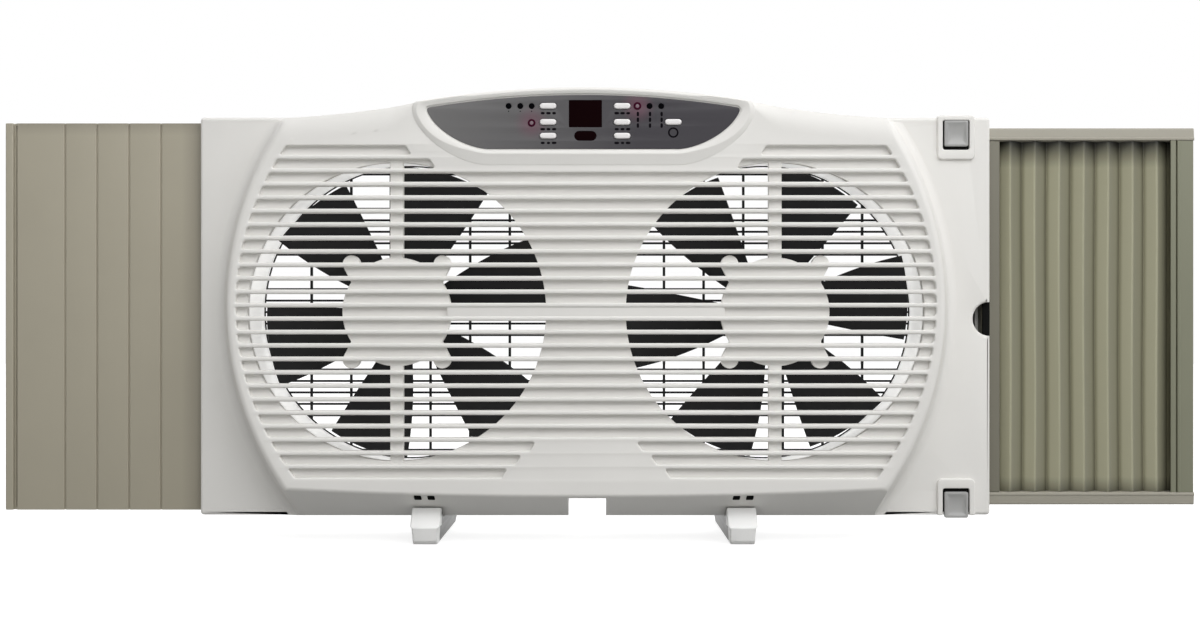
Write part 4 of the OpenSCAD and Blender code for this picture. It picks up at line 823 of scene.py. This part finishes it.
BLADES = 6
TIP_R = 122.0
ROOT_R = 20.0
PITCH = np.radians(22)
CAMBER_R = 140.0
BLADE_T = 2.0
HALF_ROOT, HALF_TIP, SWELL, SWEEP = 20.5, 16.8, 0.5, 4.0
HUB_R, HUB_WALL, HUB_BOSS = 24.0, 3.0, 8.0
BLADE_MID = 21.5
BORE_R = 3.05
black_pp = plastic("black_polypropylene", (0.012, 0.012, 0.013), rough=0.5, grain=0.0001, drift=0.15, gloss=0.2)


def turned(points, degrees, x0, z0):
    """Points turned about an axis along Y, then moved to (x0, z0)."""
    x, y, z = points
    f = np.radians(degrees)
    return np.stack([x0 + x * np.cos(f) - z * np.sin(f), y, z0 + x * np.sin(f) + z * np.cos(f)], -1)


def blade(turn, mid_y, x0, z0):
    """One blade: radius r by chord c on a sheet bent to a circle and pitched, y = sqrt(R^2 -
    (z + R sin p)^2) - R cos p. Its section is a lens of thickness (1 - c^8)^(1/2) that closes at the tip."""
    tip = TIP_R - 1 + np.sin(np.linspace(0.3, np.pi / 2, 5))
    r = np.concatenate([np.linspace(HUB_R - 2.5, TIP_R - 1, 26), tip])
    t = (r - ROOT_R) / (TIP_R + 4 - ROOT_R)
    half = np.radians(HALF_ROOT + (HALF_TIP - HALF_ROOT) * t + 4 * SWELL * t * (1 - t))
    c = np.sin(np.linspace(-np.pi / 2, np.pi / 2, 21))
    close = np.sqrt(np.clip(1 - (np.maximum(r - TIP_R + 1, 0)) ** 2, 0.0004, 1))
    root = 1 + 0.9 * np.exp(-(r - HUB_R) / 3)
    thick = (BLADE_T / 2) * (close * root)[:, None] * np.sqrt(1 - c ** 8)[None]
    a = half[:, None] * c[None] - np.radians(SWEEP) * t[:, None]
    x, z = r[:, None] * np.cos(a), r[:, None] * np.sin(a)
    low_z = z + CAMBER_R * np.sin(PITCH)
    skins = [np.sqrt((CAMBER_R + s * thick) ** 2 - low_z ** 2) - CAMBER_R * np.cos(PITCH) for s in (1, -1)]
    around = [np.concatenate([a, b[:, -2:0:-1]], 1) for a, b in ((x, x), skins, (z, z))]
    return loft(turned((around[0], mid_y + around[1], around[2]), turn, x0, z0))


for side, axis_x, turn in (("left", left_x, 17.5), ("right", right_x, 9.7)):
    lo, hi = corners_of("fan_blade_" + side)
    hub_front = lo[1]
    nut_lo, nut_hi = corners_of("fan_nut_" + side)
    hub_back = nut_lo[1]
    surfaces = [blade(turn + 360 * k / BLADES, hub_front + BLADE_MID, axis_x, fan_z) for k in range(BLADES)]
    hub_inner, web = HUB_R - HUB_WALL, hub_back - HUB_WALL
    hub = rounded([(BORE_R, hub_front, 0.3), (HUB_BOSS, hub_front, 0.5), (HUB_BOSS, web, 1),
                   (hub_inner, web, 1), (hub_inner, hub_front, 0.5), (HUB_R, hub_front, 0.8),
                   (HUB_R, hub_back, 3), (14, hub_back, 0.5), (13, hub_back - 1, 0.5), (9.5, hub_back - 1, 0.5),
                   (8.5, hub_back, 0.5), (BORE_R, hub_back, 0.1)], 4)
    surfaces.append(lathe(hub, axis_x, fan_z, 96))
    fan = piece("fan_" + side, surfaces, side + "_fan", black_pp, sharp=40)
    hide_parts("fan_blade_" + side)
    nut_top, nut_foot = nut_hi[1], nut_lo[1]
    nut_dome = rounded([(0.01, nut_top, 0), (3, nut_top, 2), (6.6, nut_top - 2.2, 1.5), (6.9, nut_foot, 0.3),
                        (BORE_R, nut_foot, 0.1), (BORE_R, nut_top - 2.6, 0.1), (0.01, nut_top - 2.6, 0)], 4)
    wing_face = rounded([(3, nut_foot + 0.2, 0.1), (8.6, nut_foot + 0.2, 0.5), (8.2, nut_top - 1.5, 1.2),
                         (3, nut_top - 0.6, 0.3)], 4)
    wing, *kinds = plate(wing_face, [], -1.1, 1.1, 0.5)
    wings = [(turned(wing[:, [0, 2, 1]].T, turn + 120 * k, axis_x, fan_z), *kinds) for k in range(3)]
    surfaces = [lathe(nut_dome, axis_x, fan_z, 48), *wings]
    nut = piece("nut_" + side, surfaces, side + "_fan", black_pp)
    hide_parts("fan_nut_" + side)

# ---- Rear guards ----
# A moulded ring with level bars and a few uprights, screwed on by four ears.

GUARD_R, GUARD_RIM = 132.0, 7.0
BAR_PITCH, BAR_W = 9.9, 1.8
UPRIGHT_PITCH, UPRIGHT_W = 34.2, 2.2
EAR_AT, EAR_R = 137.0, 6.0


def rod_along(p, q, w, d):
    """A bar from p to q in the guard's plane: a rounded section w by d carried along it."""
    section = oblong(-w / 2, w / 2, -d / 2, d / 2, w * 0.4, w * 0.2, 3)
    p, q = np.array(p), np.array(q)
    run = (q - p) / np.linalg.norm(q - p)
    side = np.array([run[2], 0, -run[0]])
    ring = section[:, :1] * side + section[:, 1:] * np.array([0, 1, 0])
    return loft([p + ring, q + ring])


for side, axis_x in (("left", left_x), ("right", right_x)):
    lo, hi = corners_of("rear_guard_" + side)
    mid_y = (lo[1] + hi[1]) / 2
    depth = hi[1] - lo[1]
    rim_inner = GUARD_R - GUARD_RIM
    rim = oblong(rim_inner, GUARD_R, lo[1], hi[1], 0.3, 1.2)
    ear = rounded([(1.75, lo[1], 0.1), (EAR_R, lo[1], 0.3), (EAR_R, hi[1], 1), (1.75, hi[1], 0.2)], 3)
    surfaces = [lathe(rim, axis_x, fan_z, 144)]
    bars = int((GUARD_R - GUARD_RIM / 2) / BAR_PITCH)
    for k in range(-bars, bars + 1):
        rise = k * BAR_PITCH
        half = np.sqrt((rim_inner + 1.5) ** 2 - rise ** 2) if abs(rise) < rim_inner else 0
        if half > 4:
            ends = [(axis_x + s * half, mid_y, fan_z + rise) for s in (-1, 1)]
            surfaces.append(rod_along(*ends, BAR_W, depth))
    for k in np.arange(-2.5, 3):
        x = axis_x + k * UPRIGHT_PITCH
        half = np.sqrt((rim_inner + 1.5) ** 2 - (k * UPRIGHT_PITCH) ** 2)
        surfaces.append(rod_along((x, mid_y, fan_z - half), (x, mid_y, fan_z + half), UPRIGHT_W, depth))
    for a in np.radians((45, 135, 225, 315)):
        surfaces.append(lathe(ear, axis_x + EAR_AT * np.cos(a), fan_z + EAR_AT * np.sin(a), 32))
    guard = piece("guard_" + side, surfaces, "body", black_pp)
    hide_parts("rear_guard_" + side)

# ---- Filler panel ----
# An extruded olive grey panel: a skin with shallow grooves, ribs behind each groove, closed ends,
# a tongue in the body's channel and a rounded strip along the outer edge.

GROOVE_FIRST, GROOVE_PITCH, GROOVE_W, GROOVE_D = 34.2, 26.6, 1.5, 1.4
SKIN, STRIP_STEP = 2.5, 3.2
OLIVE = (0.375, 0.345, 0.27)


def extruded_plastic(name, colour, drift=0.035):
    """The side panels' extruded plastic, in one of its tones."""
    return plastic(name, colour, rough=0.5, grain=0.00015, grain_size=1800, drift=drift)


def paint_light_and_shade(tree, *shares):
    """Paints light and shade into a plastic's base colour by multiplying it by each share."""
    total = shares[0]
    for share in shares[1:]:
        total = combine(tree, "MULTIPLY", total, share)
    base = tree.nodes["Principled BSDF"].inputs["Base Color"]
    scaled = added(tree, "VectorMath", operation="SCALE")
    join(tree, (base.links[0].from_socket, scaled.inputs[0]), (total, scaled.inputs["Scale"]),
         (scaled.outputs[0], base))


# Painted shade: the filler's colour is darkened along the body and at its upper edge
BODY_SHADE, TOP_SHADE = 0.72, 0.76
olive = extruded_plastic("olive_grey", OLIVE)
filler_olive_shaded = extruded_plastic("filler_olive_shaded", OLIVE)
lo, hi = corners_of("filler_panel")
tree = filler_olive_shaded.node_tree
place = place_on(tree)
paint_light_and_shade(tree, ramp(tree, place["X"], (flange_left - 3) * MM, (flange_left - 17) * MM, BODY_SHADE),
       ramp(tree, place["Z"], (hi[2] + 1) * MM, (hi[2] - 10) * MM, TOP_SHADE))
grooves = [flange_left - GROOVE_FIRST - k * GROOVE_PITCH for k in (3, 2, 1, 0)]
ribs = [lo[0], *grooves, flange_left]
profile = [(lo[0] + 1.2, lo[1], 0.5)]
for x in grooves:
    profile += [(x - GROOVE_W / 2, lo[1], 0.6), (x - GROOVE_W / 2 + 0.3, lo[1] + GROOVE_D, 0.15),
                (x + GROOVE_W / 2 - 0.3, lo[1] + GROOVE_D, 0.15), (x + GROOVE_W / 2, lo[1], 0.6)]
skin_back, step_y = lo[1] + SKIN, lo[1] + STRIP_STEP
last_rib = flange_left + 2
profile += [(hi[0], lo[1], 0.8), (hi[0], skin_back, 0.4), (last_rib, skin_back, 0.3), (last_rib, hi[1], 0.4)]
for a, b in list(zip(ribs[:-1], ribs[1:]))[::-1]:
    profile += [(b - SKIN, hi[1], 0.4), (b - SKIN, skin_back, 0.8), (a + SKIN, skin_back, 0.8),
                (a + SKIN, hi[1], 0.4)]
profile += [(lo[0], hi[1], 0.8), (lo[0], step_y, 0.2), (lo[0] + 1.2, step_y, 0.2)]


def upright(outline, z0, z1, edge, steps=3):
    """A profile in plan carried up from z0 to z1, with a small round at both ends."""
    body, *kinds = plate(outline, [], z0, (z0 + z1) / 2, edge, steps=steps)
    body = body[:, [0, 2, 1]]
    other = body * (1, 1, -1) + (0, 0, z0 + z1)
    return [(body, *kinds), (other, *kinds)]


ends = rounded([(lo[0], lo[1], 0.8), (last_rib, lo[1], 0.3), (last_rib, hi[1], 0.5), (lo[0], hi[1], 0.8)], 4)
filler_surfaces = upright(rounded(profile, 4), lo[2], hi[2], 0.3)
for z0, z1 in ((lo[2], lo[2] + SKIN), (hi[2] - SKIN, hi[2])):
    inner = ends * (1, 0) + np.maximum(ends[:, 1:], lo[1] + 1.2) * (0, 1)
    filler_surfaces += upright(inner, z0 + 0.05, z1 - 0.05, 0.3)
filler = piece("filler_planks", filler_surfaces, "filler", filler_olive_shaded)
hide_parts("filler_panel")
lo, hi = corners_of("filler_edge_strip")
step_x, strip_end = hi[0] - 1.6, hi[0] - 0.1
strip = rounded([(lo[0], lo[1], 1.5), (step_x, lo[1], 0.8), (step_x, lo[1] + STRIP_STEP, 0.2),
                 (strip_end, lo[1] + STRIP_STEP, 0.2), (strip_end, hi[1], 0.3), (lo[0], hi[1], 1.2)], 5)
edge_strip = piece("filler_strip", upright(strip, lo[2], hi[2], 0.8), "filler", olive)
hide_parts("filler_edge_strip")

# ---- Sliding frame and curtain ----
# Two rails and an end stile in olive grey, a fixed stile at the body, and between them a curtain
# of thin folded sheet that closes up on the fan as the frame slides in; here it is one fixed shape.

RAIL_H = 10.4
STILE_W = 14.0
TUCK_LIP = 5.0
lo, hi = corners_of("slider_frame")
stile_x = hi[0] - STILE_W
rail_section = rounded([(lo[1] + 1.2, 0, 1.6), (lo[1] + 0.7, RAIL_H - 2.6, 0.3),
                        (lo[1] + 0.1, RAIL_H - 2.2, 0.3), (lo[1], RAIL_H, 0.9), (hi[1], RAIL_H, 0.6),
                        (hi[1], 0, 0.6)], 4)
rail_grey = extruded_plastic("rail_grey", (0.345, 0.326, 0.272), drift=0.03)


def along_x(section, x0, x1, base_z, flip=False):
    """A section in (y, z) carried along X, right way up or upside down."""
    y, z = section.T
    z = base_z + (RAIL_H - z if flip else z)
    rings = [np.stack([np.full(len(y), x), y, z], -1) for x in (x0, x0 + 0.01, x1 - 0.01, x1)]
    return loft(rings)


frame_surfaces = [along_x(rail_section, lo[0], hi[0], hi[2] - RAIL_H, True),
                  along_x(rail_section, lo[0], hi[0], lo[2])]
stile_plan = rounded([(stile_x, lo[1], 0.9), (stile_x + 2, lo[1], 0.5), (stile_x + 2.6, lo[1] + 0.7, 0.3),
                      (hi[0], lo[1] + 0.7, 1.6), (hi[0], hi[1], 1.0), (stile_x, hi[1], 0.8)], 5)
rail_top, rail_foot = hi[2] - RAIL_H, lo[2] + RAIL_H
stile_surfaces = upright(stile_plan, rail_foot + 0.05, rail_top - 0.05, 0.3)
end_lip = oblong(stile_x - 5.4, stile_x - 0.9, lo[1] + 0.5, lo[1] + 1.6, 0.5, 0.3, 3)
stile_surfaces += upright(end_lip, rail_foot, rail_top, 0.2)
back_lip = oblong(lo[0], hi[0] - 1, hi[1] - 1.6, hi[1] - 0.1, 0.3, steps=3)
for z0, z1 in ((rail_top - TUCK_LIP, rail_top + 0.5), (rail_foot - 0.5, rail_foot + TUCK_LIP)):
    frame_surfaces += upright(back_lip, z0, z1, 0.2)
slide = piece("sliding_frame", frame_surfaces, "slider", rail_grey)
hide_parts("slider_frame")
# The end stile's olive is darker than the rails': painted shade
piece("end_stile", stile_surfaces, "slider", extruded_plastic("stile_olive_shaded", (0.192, 0.195, 0.136)))

lo_stile, hi_stile = corners_of("curtain_stile")
stile = oblong(lo_stile[0], hi_stile[0], lo_stile[1] + 1, hi_stile[1], 1, 0.6)
PULL_HALF = 17.0
pull = oblong(lo_stile[0] + 0.2, flange_right + 1.4, finger_z - PULL_HALF, finger_z + PULL_HALF, 2, steps=6)
# A darker olive for the fixed stile: painted shade beside the body
shaded_olive = extruded_plastic("shaded_olive", (0.161, 0.152, 0.116))
fixed = piece("fixed_stile", upright(stile, lo_stile[2], hi_stile[2], 0.4), "body", shaded_olive)
# A dark plate in the finger notch: painted shade for the notch's depth
piece("finger_recess_shade", [plate(pull, [], lo_stile[1] + 0.05, lo_stile[1] + 3, 1.0)], "body", shadow)
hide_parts("curtain_stile")

SHEET_T = 1.0
PLEATS = 7
PLEAT_PITCH = 20.3
LAST_VALLEY = 4.2
SHEET, VALLEY_SHADE = (0.335, 0.325, 0.228), (0.145, 0.137, 0.082)
SHADE_TOP, SHADE_FOOT = 22.0, 12.0
TOP_DARK, FOOT_DARK = 0.06, 0.45
LEFT_FLANK_LIGHT, RIGHT_FLANK_SHADE = 1.28, 0.66

# Painted shade and light: darker in the valleys, on the right flank of each fold and towards both
# rails, lighter on the left flank
curtain_olive_shaded = plastic("folded_sheet_painted_shade", SHEET, rough=0.42, grain=0.0001, grain_size=900, drift=0.05)
lo, hi = corners_of("pleated_curtain")
tree = curtain_olive_shaded.node_tree
place = place_on(tree)
depth = ramp(tree, place["Y"], (lo[1] * 0.4 + hi[1] * 0.6) * MM, (hi[1] - 0.6) * MM, smooth=True)
feed(tree, "Base Color", blend(tree, depth, SHEET, VALLEY_SHADE))
facing = added(tree, "SeparateXYZ")
join(tree, (added(tree, "NewGeometry").outputs["Normal"], facing.inputs[0]))
paint_light_and_shade(tree, ramp(tree, place["Z"], (hi[2] - 1) * MM, (hi[2] - SHADE_TOP) * MM, TOP_DARK),
       ramp(tree, place["Z"], (lo[2] + 1) * MM, (lo[2] + SHADE_FOOT) * MM, FOOT_DARK),
       ramp(tree, facing.outputs["X"], -0.4, 0.4, LEFT_FLANK_LIGHT, RIGHT_FLANK_SHADE))
front, back = lo[1] + 0.1, hi[1] - SHEET_T - 0.1
valleys = [hi[0] - LAST_VALLEY - PLEAT_PITCH * k for k in range(PLEATS, -1, -1)]
fold = [(lo[0] + 0.1, back, 0)]
for a, b in zip(valleys[:-1], valleys[1:]):
    fold += [(a, back, 0.7), ((a + b) / 2 - 1.8, front, 2.0)]
fold += [(valleys[-1], back, 0.7), (hi[0] - 0.1, back, 0)]
behind = [(x, y + SHEET_T + 0.25, 2.0 if r < 1 else 1.4) for x, y, r in fold[::-1]]
behind[0] = (*behind[0][:2], 0)
behind[-1] = (*behind[-1][:2], 0)
sheet = rounded(fold + behind, 5)
levels = np.linspace(lo[2], hi[2], 15)
free = np.clip(np.minimum(sheet[:, 0] - lo[0], hi[0] - sheet[:, 0]) / 12, 0, 1)
wave = [0.35 * free * np.sin(z / 47 + sheet[:, 0] / 31) for z in levels]
curtain_rings = [np.stack([sheet[:, 0] + w, sheet[:, 1], np.full(len(sheet), z)], -1)
                 for w, z in zip(wave, levels)]
curtain = piece("curtain", [loft(curtain_rings)], "body", curtain_olive_shaded, sharp=50)
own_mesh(curtain)
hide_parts("pleated_curtain")

# ---- Sash locks ----
# A white bezel on the flange over each end of the body's right side, and in it a grey thumb tab
# with a scoop, which slides a tongue behind the flange.

BEZEL_HALF = 15.5
TAB_HALF, TAB_SCOOP = 10.5, 1.9
TONGUE_HALF, TONGUE_H = 4, 6
latch_grey = plastic("latch_grey", (0.36, 0.36, 0.355), rough=0.34, grain=0.0001, drift=0.03)


def lock_tab(lo, hi, scoop):
    """A tab: outlines drawn in ring by ring, rounded at the edge, then sunk by a scoop that
    follows half a sine from its lower to its upper end."""
    half = (hi[0] - lo[0]) / 2 - 0.7
    tall = (hi[2] - lo[2]) / 2
    x, z = (lo[0] + hi[0]) / 2, (lo[2] + hi[2]) / 2
    shares = np.linspace(0, 1, 6, endpoint=False)[:, None]
    rings = []
    for inset, depth, sink in ((0, 2.6, 0), (0, 0.7, 0), (0.2, 0.2, 0), (0.7, 0, 0), (1.8, 0, 0),
                               (2.3, 0.05, 0.25), (3.4, 0, 0.8), (5, 0, 1), (7, 0, 1), (9, 0, 1)):
        w, h = half - inset, tall - inset
        ring = oblong(x - w, x + w, z - h, z + h, max(0.4, 1.6 - inset / 3))
        ring = np.concatenate([p + (q - p) * shares for p, q in zip(ring, np.roll(ring, -1, 0))])
        along = np.clip((ring[:, 1] - z) / tall / 2 + 0.5, 0, 1)
        rings.append(np.insert(ring, 1, lo[1] + depth + sink * scoop * np.sin(np.pi * along), 1))
    return loft(rings)


for end in ("top", "bottom"):
    lo, hi = corners_of("lock_bezel_" + end)
    tab_lo, tab_hi = corners_of("lock_tab_" + end)
    x0, x1 = lock_x - BEZEL_HALF, lock_x + BEZEL_HALF
    w0, w1 = lock_x - TAB_HALF - 0.7, lock_x + TAB_HALF + 0.4
    front, back = lo[1], flange_y + 0.05
    if end == "top":
        hole = oblong(w0, w1, lo[2] + 8, hi[2] - 4, 2, 1.5, 6)
        surfaces = [plate(oblong(x0, x1, lo[2], hi[2], 4, 3, 8), [hole], front, back, 0.7, outer_edge=1.3),
                    square_bar(x0 + 0.3, x1 - 0.3, flange_y - 0.2, flange_back, rim_head - 3, hi[2] - 0.4, 0.3)]
    else:
        outline = rounded([(x0, lo[2], 1), (w0, lo[2], 1), (w0, hi[2] - 8, 2), (w1, hi[2] - 8, 2),
                           (w1, lo[2], 1), (x1, lo[2], 1), (x1, hi[2], 4), (x0, hi[2], 4)], 8)
        surfaces = [plate(outline, [], front, back, 0.9)]
    bezel = piece("bezel_" + end, surfaces, "body", white_styrene)
    # A dark plate in the bezel's window: painted shade where the flange's slot lets the tongue through
    z0, z1 = (lo[2] + 7.5, hi[2] - 4.5) if end == "top" else (lo[2] + FLANGE_RIM, hi[2] - 7.5)
    well_shade = square_bar(w0 - 0.5, w1 + 0.5, flange_y - 0.12, flange_y + 0.4, z0, z1, 0.1)
    piece("lock_well_shade_" + end, [well_shade], "body", shadow)
    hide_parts("lock_bezel_" + end)
    face_hi = np.array([tab_hi[0], tab_lo[1] + 2.6, tab_hi[2]])
    tongue_z = flange_head - 12.5 if end == "top" else flange_foot + 6.5
    tongue = square_bar(lock_x - TONGUE_HALF, lock_x + TONGUE_HALF, tab_lo[1] + 2.5, tab_hi[1],
                        tongue_z, tongue_z + TONGUE_H, 0.2)
    surfaces = [lock_tab(tab_lo, face_hi, TAB_SCOOP), tongue]
    tab = piece("tab_" + end, surfaces, end + "_lock", latch_grey)
    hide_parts("lock_tab_" + end)

# ---- Sill feet ----
# Two nylon feet clipped under the body: a white toe in front under the tucked face, a sole that
# runs back over the sill, coloured dark behind the toe, and two prongs that go up into the housing.

FOOT_HALF = 12.0
PRONG_AT, PRONG_HALF = 5.3, 3
TOE_L, DRAFT = 15, 0.16
NYLON, DARK_REAR = (0.93, 0.93, 0.92), (0.075, 0.074, 0.070)
nylon = plastic("white_nylon", NYLON, rough=0.36, grain=0.0001, drift=0.02)
tree = nylon.node_tree
toe_end = corners_of("foot_left")[0][1] + TOE_L
rear = ramp(tree, place_on(tree)["Y"], toe_end * MM, (toe_end + 2) * MM)
feed(tree, "Base Color", blend(tree, rear, NYLON, DARK_REAR))
for side in ("left", "right"):
    lo, hi = corners_of("foot_" + side)
    x = (lo[0] + hi[0]) / 2
    toe, heel, low = lo[1], hi[1], lo[2]
    top = flange_foot - 0.4
    sole = rounded([(toe + 4, low, 2.5), (heel - 17, low, 6), (heel, low + 6, 2), (heel, low + 9, 1.5),
                    (heel - 3, low + 11.5, 2), (17, top, 3), (-36, 19.1, 2), (toe + 14, 28.3, 0.8),
                    (toe + 1, 15.4, 1.5), (toe, 13.4, 1.2), (toe + 2, 3, 3)], 5)
    body_part, *kinds = plate(sole, [], -FOOT_HALF, 0, 1.4)
    draft = 1 - DRAFT * (1 - ease_in(body_part[:, 2], 12.5, 14.5)) * ease_in(-body_part[:, 0], 30, 55)
    surfaces = [(np.stack([x + s * body_part[:, 1] * draft, body_part[:, 0], body_part[:, 2]], -1), *kinds)
                for s in (1, -1)]
    for prong_x in (x - PRONG_AT, x + PRONG_AT):
        surfaces.append(square_bar(prong_x - PRONG_HALF, prong_x + PRONG_HALF, flange_back + 4, flange_back + 8,
                                   top - 1, hi[2]))
    foot = piece("sill_" + side, surfaces, side + "_foot", nylon)
    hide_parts("foot_" + side)

# ---- Housing, motors and electrics ----
# The rear housing and cover are moulded in the grille's styrene. Behind each blank sits a
# shaded-pole motor in a drawn can, wired up to the board behind the panel.


def metal(name, colour, rough, scratch=0.0004, grain_size=900):
    """A metal with fine streaks: noise stretched along X drives the roughness and a slight bump."""
    made = bpy.data.materials.new(name)
    made.use_nodes = True
    tree = made.node_tree
    shader = tree.nodes["Principled BSDF"]
    shader.inputs["Base Color"].default_value = (*colour, 1)
    shader.inputs["Metallic"].default_value = 1.0
    stretch = added(tree, "Mapping", [("Scale", (0.08, 1, 1))])
    join(tree, (added(tree, "TexCoord").outputs["Object"], stretch.inputs["Vector"]))
    grained(tree, stretch.outputs[0], grain_size, rough - 0.08, rough + 0.10, 0.2, scratch)
    return made


def dress(paint, *names):
    """Puts a material on CAD nodes."""
    for name in names:
        nodes[name].data.materials.clear()
        nodes[name].data.materials.append(paint)


# Painted light: the walls of the housing's two ducts glow, standing in for daylight from behind
PAINTED_DUCT_GLOW = 0.45
DUCT_R = 126.2
housing_styrene_glow = plastic("housing_styrene_glow", STYRENE, rough=0.45)
tree = housing_styrene_glow.node_tree
nearest = combine(tree, "MINIMUM", *[distance_from(tree, x, 0, fan_z, depth=0) for x in (left_x, right_x)])
tree.nodes["Principled BSDF"].inputs["Emission Color"].default_value = (1, 1, 0.985, 1)
feed(tree, "Emission Strength", ramp(tree, nearest, (DUCT_R + 0.6) * MM, DUCT_R * MM, 0, PAINTED_DUCT_GLOW))
dress(housing_styrene_glow, "main_housing")
dress(white_styrene, "control_cover")
both = ("_left", "_right")
screws = [kind + "_screws" for kind in ("board", "cover", "housing", "guard", "motor")]
dress(metal("zinc_plated_steel", (0.62, 0.62, 0.60), 0.30), *screws, *["fan_shaft" + s for s in both])
dress(metal("drawn_steel", (0.52, 0.53, 0.54), 0.38), *["motor_can" + s for s in both])
dress(metal("laminated_iron", (0.20, 0.20, 0.21), 0.5),
      *[n + s for n in ("stator", "motor_rotor") for s in both])
dress(metal("enamelled_copper", (0.50, 0.18, 0.07), 0.32), *["windings" + s for s in both])
dress(metal("oiled_bronze", (0.45, 0.27, 0.11), 0.4), *["bushes" + s for s in both])
dress(plastic("green_laminate", (0.02, 0.13, 0.055), rough=0.25), "circuit_board")
dress(plastic("dark_resin", (0.03, 0.03, 0.03), rough=0.4), "display_module", "infrared_receiver",
      "key_switches", "run_capacitors")
dress(plastic("red_lamp_resin", (0.5, 0.03, 0.04), rough=0.15), "indicator_lamps")
dress(plastic("lead_insulation", (0.03, 0.03, 0.032), rough=0.5), "motor_leads", "cord_gland")
